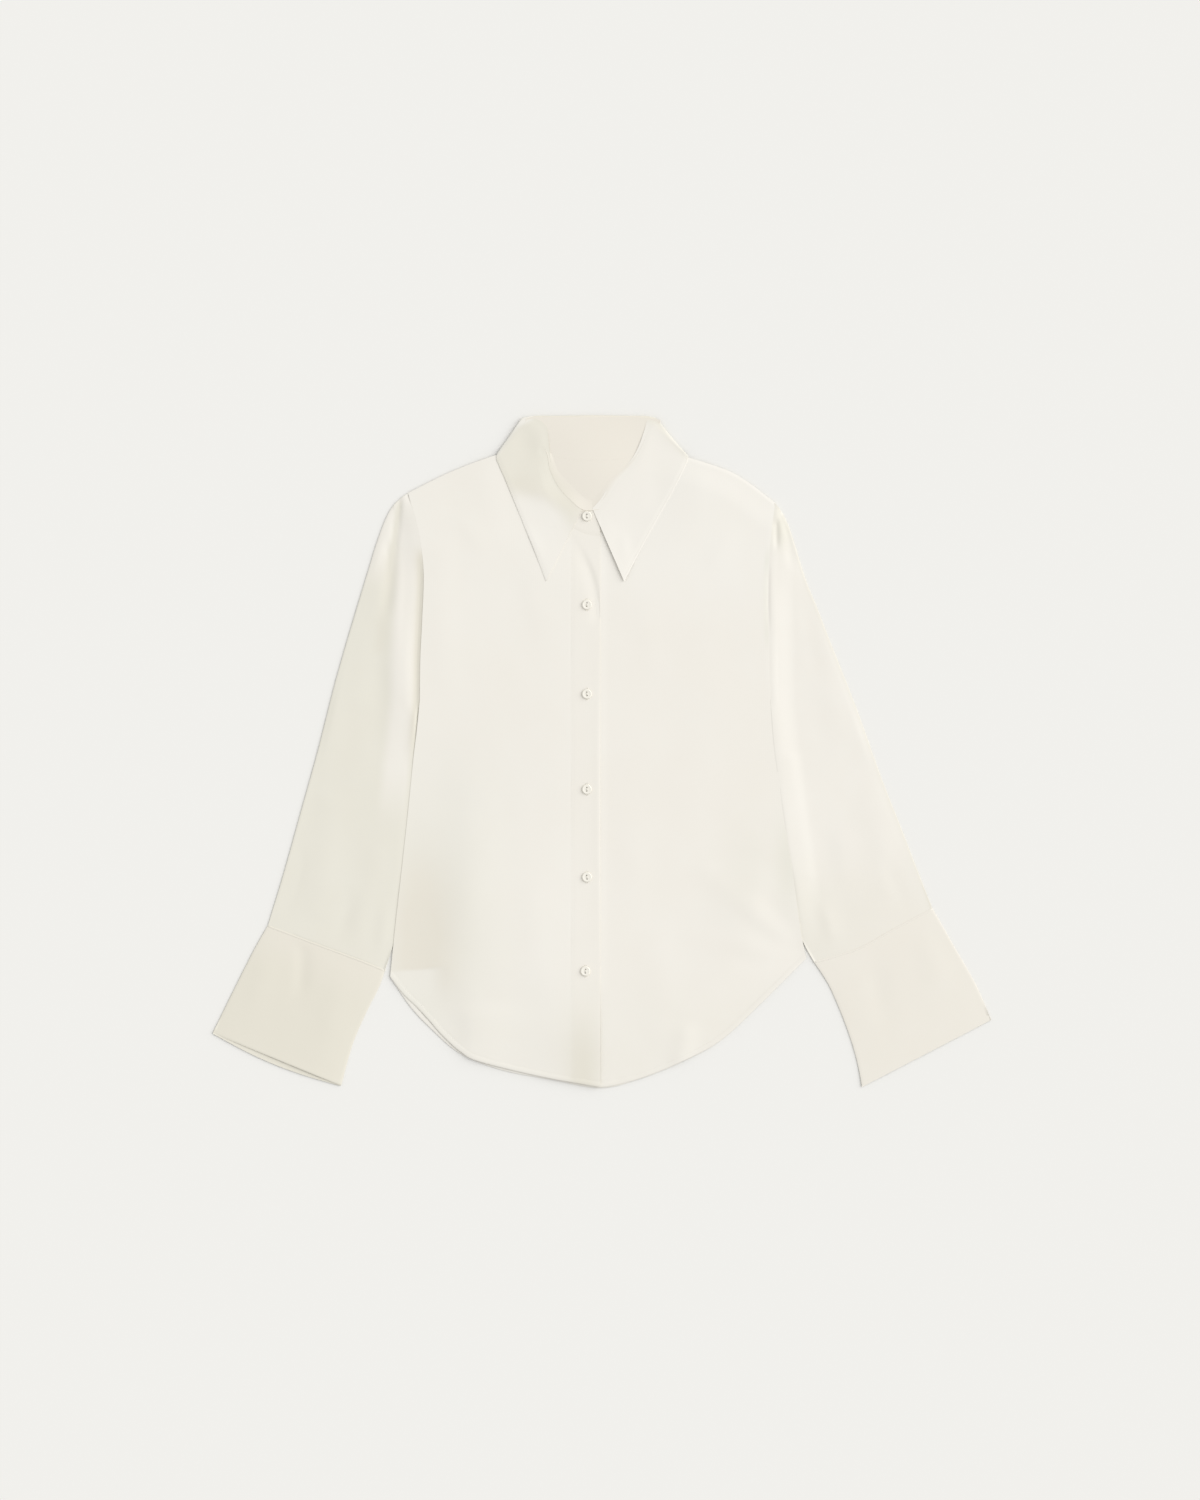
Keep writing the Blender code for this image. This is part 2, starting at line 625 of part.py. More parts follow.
def make_leaf():
    """The pointed part of the collar, which turns over the stand in front and under it at the back."""
    grid = []
    for roll_x, roll_y, high, edge_x, edge_y, over, back in LEAF:
        roll, edge = Vector((roll_x, roll_y)), Vector((edge_x, edge_y))
        out = (roll - edge).normalized()
        row = []
        for share, front_out, front_rise, back_out, back_rise in LEAF_ROWS:
            place = roll.lerp(edge, share) + out * (front_out * (1 - back) + back_out * back)
            bed = WALL / 2
            top = fronts_top(*place) + LEAF_GAP + WALL / 2 + over
            if back == 0.0:
                z = top + (high - top) * front_rise
            elif back == 1.0:
                z = bed + (high - bed) * back_rise
            else:
                z = 0.5 * (bed + top) + (high - 0.5 * (bed + top)) * front_rise
            row.append(Vector((*place, z)))
        grid.append(row)
    return offset_sheet("collar", grid, WALL)


def circle(work, radius, z, sides, y=0.0):
    return [
        work.verts.new((radius * math.cos(turn) * MM, (y + radius * math.sin(turn)) * MM, z * MM))
        for turn in (2 * math.pi * k / sides for k in range(sides))
    ]


def bridge(work, below, above):
    count = len(below)
    for k in range(count):
        work.faces.new((below[k], below[(k + 1) % count], above[(k + 1) % count], above[k]))


def make_button(number, x, y, under, tilt):
    """A flat shirt button with a raised rim and two holes, one above the other."""
    radius = BUTTON_DIAMETER / 2
    work = bmesh.new()
    rims = [circle(work, radius - inset, z, BUTTON_SIDES) for inset, z in BUTTON_PROFILE]
    for below, above in zip(rims, rims[1:]):
        bridge(work, below, above)
    holes = []
    for side in (-1, 1):
        hole = [
            circle(work, BUTTON_HOLE / 2, z, HOLE_SIDES, side * BUTTON_HOLE_PITCH / 2)
            for z in (0.0, BUTTON_DISH)
        ]
        bridge(work, *hole)
        holes.append(hole)
    for level, rim in enumerate((rims[0], rims[-1])):
        edges = set()
        for loop in (rim, holes[0][level], holes[1][level]):
            edges.update(work.edges.get((a, b)) for a, b in zip(loop, loop[1:] + loop[:1]))
        bmesh.ops.triangle_fill(work, use_beauty=True, edges=list(edges))
    bmesh.ops.recalc_face_normals(work, faces=work.faces)
    mesh = bpy.data.meshes.new(f"button_{number}")
    work.to_mesh(mesh)
    work.free()
    mesh.shade_smooth()
    mesh.set_sharp_from_angle(angle=math.radians(35))
    mesh.materials.append(material(PEARL))
    button = bpy.data.objects.new(f"button_{number}", mesh)
    bpy.context.scene.collection.objects.link(button)
    button.location = Vector((x, y, under)) * MM
    button.rotation_euler = (math.radians(tilt), 0.0, 0.0)
    return button


def main():
    for old in list(bpy.data.objects):
        bpy.data.objects.remove(old, do_unlink=True)
    make_back()
    make_fronts()
    make_sleeve("sleeve_right", 1, RIGHT_ARMHOLE, RIGHT_FOLD, RIGHT_SIDE, RIGHT_CUFF_SEAM)
    make_sleeve("sleeve_left", -1, LEFT_ARMHOLE, LEFT_FOLD, LEFT_SIDE, LEFT_CUFF_SEAM)
    make_cuff("cuff_right", RIGHT_CUFF_FOLD, RIGHT_CUFF_INNER, RIGHT_CUFF_SEAM, CUFF_PEEK)
    make_cuff("cuff_left", LEFT_CUFF_FOLD, LEFT_CUFF_INNER, LEFT_CUFF_SEAM, 0.0)
    make_stand()
    make_leaf()
    make_button(1, BUTTON_X, STAND_BUTTON["y"], STAND_BUTTON["under"], STAND_BUTTON["tilt"])
    for number, y in enumerate(PLACKET_BUTTONS_Y, start=2):
        x = BUTTON_X - (1.5 if number == 6 else 0.0)
        make_button(number, x, y, right_front_under(x, y) + WALL + SEAM_GAP, 0.0)


main()
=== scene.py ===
# %% [markdown]
# # A silk blouse, laid flat
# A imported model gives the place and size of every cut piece. This lesson dresses it: each piece
# becomes a thin sheet of silk with its folds, seams and stitches. The tables are in millimetres,
# in plan: +X to the right, +Y from the hem to the collar, +Z up. Meshes are made in metres.

import json
import math

import bmesh
import bpy
import numpy as np
from mathutils import Matrix, Vector, noise

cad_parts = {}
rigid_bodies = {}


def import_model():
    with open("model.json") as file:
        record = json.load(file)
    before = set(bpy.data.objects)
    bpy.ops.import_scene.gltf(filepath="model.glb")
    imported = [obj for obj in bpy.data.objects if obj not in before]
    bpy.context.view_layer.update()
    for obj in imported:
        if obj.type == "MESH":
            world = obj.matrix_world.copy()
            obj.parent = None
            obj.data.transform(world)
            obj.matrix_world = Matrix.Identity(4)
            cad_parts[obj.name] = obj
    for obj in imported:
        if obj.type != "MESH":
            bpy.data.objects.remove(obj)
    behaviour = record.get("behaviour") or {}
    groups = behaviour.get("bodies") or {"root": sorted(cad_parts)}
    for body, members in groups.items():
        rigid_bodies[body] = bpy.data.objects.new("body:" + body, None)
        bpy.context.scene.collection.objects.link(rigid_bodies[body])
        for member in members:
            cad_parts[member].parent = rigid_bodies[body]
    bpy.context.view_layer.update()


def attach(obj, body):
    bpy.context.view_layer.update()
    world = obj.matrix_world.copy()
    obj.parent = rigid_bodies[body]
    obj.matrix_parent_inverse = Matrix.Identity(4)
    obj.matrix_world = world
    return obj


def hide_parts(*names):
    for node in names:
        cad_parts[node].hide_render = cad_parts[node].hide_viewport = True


for leftover in list(bpy.data.objects):
    bpy.data.objects.remove(leftover, do_unlink=True)
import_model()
MM = 0.001

# %% [markdown]
# ## Camera
# A flat garment is looked at from straight above. A long lens keeps the sleeves' ends from
# leaning outwards, and the sensor's width is the frame's long side, so the height follows from
# how much ground that side should take in.

# %% Set the camera
GROUND_SEEN = 1590.0  # along the frame's long side
LOOKED_AT = (-2.1, 1.6)
LENS, SENSOR = 100.0, 36.0


def place_object(name, data):
    """A new object of the scene that shows the given data."""
    made = bpy.data.objects.new(name, data)
    bpy.context.scene.collection.objects.link(made)
    return made


eye = bpy.data.cameras.new("eye")
eye.lens, eye.sensor_width = LENS, SENSOR
camera = place_object("eye", eye)
camera.location = Vector((*LOOKED_AT, GROUND_SEEN * LENS / SENSOR)) * MM
bpy.context.scene.camera = camera
bpy.context.scene.view_settings.view_transform = "Standard"
print("camera height", round(camera.location.z, 3), "m")

# %% [markdown]
# ## Light
# Pale silk on a pale ground has almost no contrast, so the shape is read from small changes of
# tone. An even sky gives most of the light. A low, wide sun from the upper right grazes the
# cloth, and a slope of two or three degrees already shows.

# %% Set the lights
SKY_STRENGTH = 0.71
SUN_STRENGTH = 2.06
SUN_HEIGHT = 35.0  # degrees above the ground
SUN_HEADING = 24.0  # degrees from +X towards +Y
SUN_WIDTH = 60.0

sky = bpy.data.worlds.new("sky")
sky.use_nodes = True
sky.node_tree.nodes["Background"].inputs["Color"].default_value = (1.0, 1.0, 1.0, 1.0)
sky.node_tree.nodes["Background"].inputs["Strength"].default_value = SKY_STRENGTH
bpy.context.scene.world = sky


def add_sun(name, strength, height, heading, width):
    light = bpy.data.lights.new(name, "SUN")
    light.energy, light.angle = strength, math.radians(width)
    lamp = place_object(name, light)
    up, turn = math.radians(height), math.radians(heading)
    towards = Vector((math.cos(up) * math.cos(turn), math.cos(up) * math.sin(turn), math.sin(up)))
    lamp.rotation_euler = towards.to_track_quat("Z", "Y").to_euler()


add_sun("window", SUN_STRENGTH, SUN_HEIGHT, SUN_HEADING, SUN_WIDTH)
print("sky", SKY_STRENGTH, "sun", SUN_STRENGTH)

# %% [markdown]
# ## Shader maths
# Materials are easier to read as sums than as wires. The class wraps a socket, so that Python's
# operators add Math nodes, and one method adds any other node from its settings and its inputs.


# %% Wrap sockets
class Wire:
    """A value socket that can be added, subtracted and multiplied."""

    def __init__(self, tree, socket):
        self.tree, self.socket = tree, socket

    def add(self, kind, settings=(), out=0, **inputs):
        """A new node: settings first, then its inputs by name, with _ for a space or by number as in_0."""
        node = self.tree.nodes.new(kind)
        for key, value in dict(settings).items():
            setattr(node, key, value)
        for key, value in inputs.items():
            slot = node.inputs[int(key[3:]) if key.startswith("in_") else key.replace("_", " ")]
            if isinstance(value, Wire):
                self.tree.links.new(value.socket, slot)
            else:
                slot.default_value = value
        return Wire(self.tree, node.outputs[out])

    def maths(self, operation, a, b=0.0):
        return self.add("ShaderNodeMath", {"operation": operation}, in_0=a, in_1=b)

    def __add__(self, other):
        return self.maths("ADD", self, other)

    def __sub__(self, other):
        return self.maths("SUBTRACT", self, other)

    def __mul__(self, other):
        return self.maths("MULTIPLY", self, other)

    def __rsub__(self, other):
        return self.maths("SUBTRACT", other, self)

    __radd__ = __add__
    __rmul__ = __mul__


def new_material(name, colour, **shader_values):
    """A material with its Principled shader's constants set, and a wire to start from."""
    made = bpy.data.materials.new(name)
    made.use_nodes = True
    shader = made.node_tree.nodes["Principled BSDF"]
    shader.inputs["Base Color"].default_value = (*colour, 1.0)
    for key, value in shader_values.items():
        shader.inputs[key.replace("_", " ")].default_value = value
    return made, shader, Wire(made.node_tree, None)


def plug(wire, shader, name):
    wire.tree.links.new(wire.socket, shader.inputs[name])


# %% [markdown]
# ## Silk
# Crepe silk has a plain weave of tightly twisted threads, so its surface is a fine, slightly
# pebbled grain with a soft sheen. A picture of cloth would blur and repeat, so waves and noise
# make the grain, laid along the cloth's own map. Each piece carries two attributes that darken
# the ivory. The first is partly real, deeper where several layers lie on each other and less
# light comes through, and partly painted shade in troughs, folds and inside the neck. The
# second is painted shade only: a greyer, greener tint where the cloth would lie in shade.

# %% Make the silk
THIN_IVORY = (0.822, 0.796, 0.736)
# The deeper ivory stands for several layers and for painted shade.
LAYERED_AND_SHADED_IVORY = (0.786, 0.742, 0.660)
PAINTED_SHADE_TINT = (0.930, 0.942, 0.915)  # the colour that is left in painted shade
SHEEN_TINT = (1.0, 0.97, 0.9, 1.0)
BROAD_CLOUDS, FINE_CLOUDS = 0.45, 0.2  # how much slow and quick changes of tone deepen the ivory
RIB_SCALE = 160.0  # of a wave texture: one rib in about 2 mm
PEBBLES_PER_M = 1500.0
RIB_SHARE, PEBBLE_SHARE = 0.3, 0.6  # of the grain's height
GRAIN_HEIGHT = 0.00006  # metres
GRAIN_STRENGTH = 0.35


def silk_material():
    made, shader, w = new_material(
        "ivory_silk", THIN_IVORY, Roughness=0.5, Sheen_Weight=0.18, Sheen_Roughness=0.35,
        Specular_IOR_Level=0.32)
    shader.inputs["Sheen Tint"].default_value = SHEEN_TINT
    # The first attribute deepens the ivory for layers and for painted shade.
    layers_and_shade = w.add("ShaderNodeAttribute", {"attribute_name": "layered_and_shaded"}, out="Fac")
    place = w.add("ShaderNodeTexCoord", out="Object")
    broad = w.add("ShaderNodeTexNoise", Vector=place, Scale=9.0, Detail=2.0)
    fine = w.add("ShaderNodeTexNoise", Vector=place, Scale=42.0, Detail=3.0)
    share = w.add("ShaderNodeClamp", Value=layers_and_shade + (broad - 0.5) * BROAD_CLOUDS + (fine - 0.5) * FINE_CLOUDS)
    ivory = w.add("ShaderNodeMix", {"data_type": "RGBA"}, out=2,
                  in_0=share, in_6=(*THIN_IVORY, 1), in_7=(*LAYERED_AND_SHADED_IVORY, 1))
    # The second attribute multiplies in the painted-shade tint.
    turned = w.add("ShaderNodeAttribute", {"attribute_name": "painted_shade"}, out="Fac")
    colour = w.add("ShaderNodeMix", {"data_type": "RGBA", "blend_type": "MULTIPLY"}, out=2,
                   in_0=turned, in_6=ivory, in_7=(*PAINTED_SHADE_TINT, 1))
    plug(colour, shader, "Base Color")
    plug((fine - 0.5) * 0.14 + 0.5, shader, "Roughness")
    cloth = w.add("ShaderNodeUVMap", {"uv_map": "cloth"})
    warp, weft = (
        w.add("ShaderNodeTexWave", {"bands_direction": way}, Vector=cloth, Scale=RIB_SCALE,
              Distortion=0.6, Detail=1.0)
        for way in "XY")
    pebble = w.add("ShaderNodeTexNoise", Vector=cloth, Scale=PEBBLES_PER_M, Detail=2.0)
    height = warp * RIB_SHARE + weft * RIB_SHARE + pebble * PEBBLE_SHARE
    grain = w.add("ShaderNodeBump", Strength=GRAIN_STRENGTH, Distance=GRAIN_HEIGHT, Height=height)
    plug(grain, shader, "Normal")
    return made


SILK = silk_material()
print("silk nodes", len(SILK.node_tree.nodes))

# %% [markdown]
# ## Where the cut edges run
# A tailor's pattern is a set of outlines. These are the same edges that the solids were cut
# with, laid out in plan. Left and right are the wearer's, so right is at -X.

# %% Cut edges
FRONT_EDGE_X, UNDER_EDGE_X = -2.0, -32.0

RIGHT_SHOULDER = [(-205.5, 274), (-161, 296), (-112.5, 314), (-75.5, 323)]
LEFT_SHOULDER = [(56.5, 323), (93.5, 311), (141, 294), (183.5, 263.5)]
RIGHT_ARMHOLE = [(-205.5, 274), (-195, 235), (-189, 192), (-190.5, 139), (-192.5, 97), (-193, 54.5)]
LEFT_ARMHOLE = [(183.5, 263.5), (180, 235), (177, 203), (176, 160), (177, 118), (178, 54.5)]
RIGHT_SIDE = [(-193, 54.5), (-196, 22), (-199.5, -9), (-206, -73), (-213, -136), (-219, -189), (-224.5, -239)]
LEFT_SIDE = [(178, 54.5), (181, 22), (184.5, -9), (193, -73), (202.5, -136), (210, -189), (216.5, -219)]
OVER_SLEEVE = (0.0, 0.3, 0.5, 0.5, 0.5, 0.5, 0.0)  # how far the body reaches past its flank
UNDER_BODY = (0.0, 1.2, 2.0, 2.0, 2.0, 2.0, 0.0)  # how far the sleeve reaches in under it
RIGHT_NECK = [(-75.5, 323), (-73, 298), (-62.5, 272), (-44.5, 248.5), (-21, 231.5), (FRONT_EDGE_X, 228)]
LEFT_NECK = [(56.5, 323), (54, 298), (43.5, 272), (25, 248.5), (-2, 231.5), (UNDER_EDGE_X, 228)]
BACK_NECK = [(-75.5, 323), (-44.5, 313.5), (-9.5, 311), (25.5, 313.5), (56.5, 323)]
BACK_HEM = [
    (-224.5, -239), (-203.5, -270), (-182, -293), (-150.5, -320), (-108, -337), (-55, -347.5),
    (-2, -356.5), (40, -347), (82.5, -330), (125, -307), (167.5, -268), (216.5, -219),
]
RIGHT_HEM = [
    (-224.5, -239), (-211, -256.5), (-196, -271), (-183, -285), (-169, -301), (-150, -318), (-129.5, -328.5),
    (-66, -344), (FRONT_EDGE_X, -355.3),
]
LEFT_HEM = [
    (UNDER_EDGE_X, -350.5), (0, -355.5), (40, -346.2), (82.5, -329.2), (125, -306.2), (167.5, -267.3),
    (216.5, -219),
]
RIGHT_FOLD = [
    (-205.5, 274), (-214, 268), (-222.5, 259), (-230, 245), (-239.5, 219), (-246.5, 196), (-262, 145),
    (-282, 76), (-301, 1.5), (-320, -67), (-337, -128), (-354, -184),
]
LEFT_FOLD = [
    (183.5, 263.5), (192.5, 250.5), (199.5, 234.5), (205, 217), (216, 182), (228, 152), (242, 116),
    (270, 45), (295, -25), (318.5, -85), (339, -138), (350, -166),
]
RIGHT_CUFF_SEAM = [(-354, -184), (-304, -203), (-258, -220), (-230, -231.5)]
LEFT_CUFF_SEAM = [(350, -166), (310, -187), (272, -208), (224.5, -223)]
RIGHT_CUFF_FOLD = [(-354, -184), (-370, -212.5), (-396.5, -265.5), (-412.5, -298.5)]
LEFT_CUFF_FOLD = [(350, -166), (360.5, -184), (374, -208), (396.5, -247.5), (412.5, -284.5)]
RIGHT_CUFF_INNER = [(-230, -231.5), (-236, -249), (-250, -277), (-264.5, -311), (-276.5, -354)]
LEFT_CUFF_INNER = [(224.5, -223), (234, -237), (244, -255), (259.5, -293), (270, -327), (275.5, -355.5)]
print("front edge at", FRONT_EDGE_X, "mm, placket", FRONT_EDGE_X - UNDER_EDGE_X, "mm wide")

# %% [markdown]
# ## Smooth lines
# A cut edge is a smooth line through a few points. A curve object could draw it, but the sheets
# also need the place at any share of its length and the distance from any place to it, so that
# hems and folds can follow it. A little array maths gives both.


# %% Draw smooth edges
def smooth(value):
    """0 below 0, 1 above 1, and a soft step between."""
    value = np.clip(value, 0.0, 1.0)
    return value * value * (3 - 2 * value)


def ramp(value, start, stop):
    """A soft step from 0 at the start to 1 at the stop, in either direction."""
    return smooth((value - start) / (stop - start))


def bell(value):
    """1 at 0, falling softly to nothing on both sides."""
    return np.exp(-value ** 2)


def spot(x, y, at_x, at_y, wide, tall):
    """1 at a place in plan, falling softly to nothing round it."""
    return bell((x - at_x) / wide) * bell((y - at_y) / tall)


def through(points, samples=12):
    """Close points on a smooth curve that passes through the given ones."""
    points = np.array(points, float)
    padded = np.vstack([points[:1], points, points[-1:]])
    a, b, c, d = (padded[k:len(padded) - 3 + k, None] for k in range(4))
    t = (np.arange(samples) / samples)[None, :, None]
    curve = 0.5 * (2 * b + (c - a) * t + (2 * a - 5 * b + 4 * c - d) * t**2 + (3 * b - a - 3 * c + d) * t**3)
    return np.vstack([curve.reshape(-1, points.shape[1]), points[-1:]])


def along(line):
    """Distance from a line's start at each of its points."""
    return np.concatenate([[0.0], np.cumsum(np.linalg.norm(np.diff(line, axis=0), axis=1))])


class Edge:
    """A seam or an edge in plan: smooth runs joined at corners, each with its share of 0 to 1."""

    def __init__(self, runs, shares=(1.0,)):
        self.stops = np.concatenate([[0.0], np.cumsum(shares)])
        self.lines = [through(points) for points in runs]
        self.line = np.vstack(self.lines)

    def at(self, t):
        t = np.asarray(t, float)
        found = np.zeros((len(t), self.line.shape[1]))
        for line, start, stop in zip(self.lines, self.stops, self.stops[1:]):
            here = t >= start - 1e-9
            reach = along(line)
            want = np.clip((t[here] - start) / (stop - start), 0, 1) * reach[-1]
            found[here] = np.stack([np.interp(want, reach, line[:, k]) for k in range(line.shape[1])], -1)
        return found


def distance(x, y, line):
    """Distance in plan from each place to a line."""
    shape = np.shape(x)
    p = np.stack([np.ravel(x), np.ravel(y)], -1)
    best = np.full(len(p), 1e9)
    for a, b in zip(line[:-1, :2], line[1:, :2]):
        d = b - a
        if d @ d < 1e-9:
            continue
        t = np.clip(((p - a) @ d) / (d @ d), 0, 1)
        best = np.minimum(best, np.linalg.norm(p - a - t[:, None] * d, axis=1))
    return best.reshape(shape)


armholes = [round(along(Edge([cut]).line)[-1]) for cut in (RIGHT_ARMHOLE, LEFT_ARMHOLE)]
print("armholes", armholes, "mm along the fronts")

# %% [markdown]
# ## Folds and creases
# Cloth that was put down by hand keeps soft ridges and troughs. Sculpting them would leave
# nothing to measure, so they are tables. The first two follow the large folds of the solids, but
# lie flatter. The others are finer: each crease has a path, a bow, its own width on either side
# of the path (a sharp side and a gentle side make a tuck), a height, and how much of that height
# is left at its two ends. Left is the left hand of someone who walks the path.

# %% Fold tables
BODY_FOLDS = [
    # x0, y0, x1, y1, half width, height
    (-170, 205, -168, 80, 16, 0.35),
    (-138, -40, -146, -190, 22, 0.5),
    (-96, 150, -90, -60, 26, 0.25),
    (112, 120, 96, -90, 30, 0.25),
    (186, -196, 112, -128, 14, 0.35),
    (172, -216, 96, -196, 13, 0.2),
    (60, -200, 64, -300, 20, 0.35),
]
SLEEVE_FOLDS = [
    (-238, 170, -258, 60, 16, 0.4),
    (-286, -60, -300, -165, 16, 0.5),
    (-238, -110, -262, -206, 14, 0.4),
    (201, -10, 220, -130, 9, 0.5),
    (226, 122, 258, 20, 16, 0.4),
    (286, -50, 306, -140, 16, 0.5),
    (250, -100, 246, -190, 14, 0.4),
]
BODY_CREASES = [
    # x0, y0, x1, y1, bow, left width, right width, height, share at start, share at end
    (-140, -262, -136, -312, 2, 40, 18, 1.5, 0.2, 0.9),
    (160, -108, 150, -196, 4, 20, 34, 1.2, 0.2, 0.5),
    (214, -216, 128, -160, 5, 12, 9, -0.4, 1.0, 0.0),
    (212, -208, 142, -128, -5, 11, 12, -0.35, 1.0, 0.0),
    (206, -224, 118, -212, 4, 10, 9, -0.3, 1.0, 0.0),
    (92, -282, 84, -326, 0, 12, 12, 1.0, 0.2, 1.0),
    (-88, 205, -62, 96, 6, 16, 12, 0.3, 0.0, 0.0),
    (46, 190, 66, 60, -6, 18, 14, 0.25, 0.0, 0.0),
    (-164, 258, -120, 200, 5, 14, 10, 0.3, 0.0, 0.0),
    (150, 240, 110, 180, -5, 14, 10, 0.3, 0.0, 0.0),
    (24, -40, 34, -210, 5, 16, 20, 0.25, 0.0, 0.2),
    (-70, -90, -62, -270, -5, 14, 16, 0.3, 0.0, 0.3),
]
PLACKET_CREASES = [
    (2, -256, 3, -352, 0, 4.0, 38, 1.3, 0.0, 1.0),
    (-28, 222, -4, 145, 6, 2.6, 8, -0.8, 0.2, 1.0),
    (-4, 130, -3.4, -250, 0, 1.2, 5, 0.2, 0.0, 0.0),
]
BACK_CREASES = [
    (-150, 190, -132, 30, 6, 12, 16, 0.45, 0.1, 0.0),
    (-60, 120, -84, -120, -8, 18, 14, 0.5, 0.0, 0.0),
    (18, 60, 2, -210, 6, 16, 20, 0.55, 0.0, 0.1),
    (96, 170, 124, -20, -6, 14, 12, 0.45, 0.1, 0.0),
    (150, -60, 116, -230, 5, 14, 18, 0.4, 0.0, 0.2),
    (-120, -110, -150, -250, 4, 14, 12, 0.35, 0.0, 0.2),
    (60, -150, 66, -318, 0, 12, 16, 0.4, 0.0, 0.6),
    (-40, 250, -34, 190, 0, 14, 14, 0.3, 0.2, 0.0),
]
print("creases in the body", sum(map(len, (BODY_CREASES, PLACKET_CREASES, BACK_CREASES))))

# %% [markdown]
# ## Creases beyond the body
# The same kind of table serves the sleeves, the cuffs and the collar's leaf. The first rows of
# the sleeves' table are the deep fold below the right sleeve's head.

# %% Sleeve, cuff and leaf creases
SLEEVE_CREASES = [
    (-206, 276, -200, 262, 0, 3.5, 3.5, -0.8, 0.8, 0.0),
    (-214, 266, -217.5, 240, 0, 2.6, 3.0, -1.6, 0.8, 0.5),
    (-217, 244, -222, 212, 1, 2.8, 4.0, -1.8, 0.7, 0.5),
    (-222, 214, -232, 132, 2, 7.0, 8.0, -1.4, 0.8, 0.0),
    (-232, 246, -248, 176, 2, 7.0, 7.0, 0.4, 0.2, 0.0),
    (-221, 228, -219, -20, 3, 12, 16, 1.3, 0.2, 0.0),
    (-231, 150, -242, -60, 4, 12, 16, -0.5, 0.3, 0.0),
    (-268, 96, -296, -40, -4, 14, 12, 0.5, 0.0, 0.0),
    (-316, -92, -338, -172, 3, 9, 12, -0.5, 0.0, 0.6),
    (-262, -140, -284, -206, 3, 9, 9, -0.5, 0.0, 0.6),
    (-228, -150, -240, -222, 2, 8, 7, 0.4, 0.0, 0.5),
    (185, 241, 185.5, 211, 0, 2.8, 3.4, -1.2, 1.0, 0.0),
    (196, 238, 203, 190, -1, 5.0, 4.5, -0.5, 0.8, 0.0),
    (214, 176, 236, 60, -3, 12, 10, -0.4, 0.2, 0.0),
    (262, 60, 290, -40, 3, 12, 14, 0.4, 0.0, 0.0),
    (238, -60, 262, -196, -4, 12, 12, -0.5, 0.0, 0.5),
    (300, -104, 322, -164, -3, 10, 9, -0.5, 0.0, 0.6),
    (226, -150, 246, -212, 3, 7, 8, 0.5, 0.2, 0.6),
]
CUFF_CREASES = [
    (-318, -196, -322, -268, 2, 9, 8, -0.9, 0.4, 0.1),
    (-352, -206, -374, -280, 2, 14, 12, 0.5, 0.3, 0.2),
    (-276, -236, -300, -318, 3, 14, 14, 0.5, 0.2, 0.3),
    (286, -212, 304, -300, -3, 14, 12, -0.5, 0.4, 0.2),
    (338, -186, 362, -262, 2, 14, 16, 0.5, 0.2, 0.2),
]
LEAF_CREASES = [
    (-98, 286, -26, 255, 5, 28, 11, 0.9, 0.2, 0.3),
    (-92, 352, -72, 303, 0, 12, 14, -0.7, 0.3, 0.2),
    (-66, 324, -55, 311, 0, 4, 4, -0.8, 0.0, 0.0),
    (-92, 246, -62, 196, 3, 7, 7, 0.3, 0.0, 0.0),
    (60, 286, 6, 246, 8, 12, 14, 0.5, 0.0, 0.4),
    (20, 236, 24, 196, 2, 6, 6, 0.3, 0.0, 0.0),
]
print("creases beyond it", sum(map(len, (SLEEVE_CREASES, CUFF_CREASES, LEAF_CREASES))))

# %% [markdown]
# ## Adding folds up
# A fold is a bell across its path. Displacement textures could draw it, but then nothing else
# would know its height. As plain functions of a place, folds can be added to any panel.

# %% Add the folds up
FADE_OVER = 0.45  # share of a crease's length over which either end fades


def fold_height(folds, x, y):
    """Height that soft folds add at each place."""
    total = 0.0
    for x0, y0, x1, y1, width, height in folds:
        dx, dy = x1 - x0, y1 - y0
        t = np.clip(((x - x0) * dx + (y - y0) * dy) / (dx * dx + dy * dy), 0, 1)
        total = total + height * bell(np.hypot(x - x0 - dx * t, y - y0 - dy * t) / width)
    return total


def crease_height(creases, x, y):
    """Height that creases with a gentle and a sharp side add at each place."""
    total = 0.0
    for x0, y0, x1, y1, bow, left, right, height, start, stop in creases:
        length = math.hypot(x1 - x0, y1 - y0)
        dx, dy = (x1 - x0) / length, (y1 - y0) / length
        t = np.clip(((x - x0) * dx + (y - y0) * dy) / length, 0, 1)
        aside = (y - y0) * dx - (x - x0) * dy - bow * 4 * t * (1 - t)
        past = (x - x0) * dx + (y - y0) * dy - t * length
        away = np.hypot(aside, past) + 1e-9
        width = right + (left - right) * (0.5 + 0.5 * aside / away)
        at_start = start + (1 - start) * smooth(t / FADE_OVER)
        at_stop = stop + (1 - stop) * smooth((1 - t) / FADE_OVER)
        total = total + height * at_start * at_stop * bell(away / width)
    return total


def drift(x, y, size, seed):
    """A gentle, uneven wander of -1 to 1, about one swell for each size."""
    places = zip(np.ravel(x) / size, np.ravel(y) / size)
    return np.array([noise.noise((a, b, seed)) for a, b in places]).reshape(np.shape(x))


swells = drift(np.linspace(-200, 200, 9), np.zeros(9), 74, 3.1)
print("a drift across the body:", swells.round(2))

# %% [markdown]
# ## How high the cloth lies
# The layers of a flat blouse follow each other. They could be dropped by a cloth simulation, but
# its folds fall where they like. Instead one function for each panel gives the height of its
# outer face at any place. The sheet, its stitches and whatever lies on it all ask the same
# function, so nothing floats or sinks.

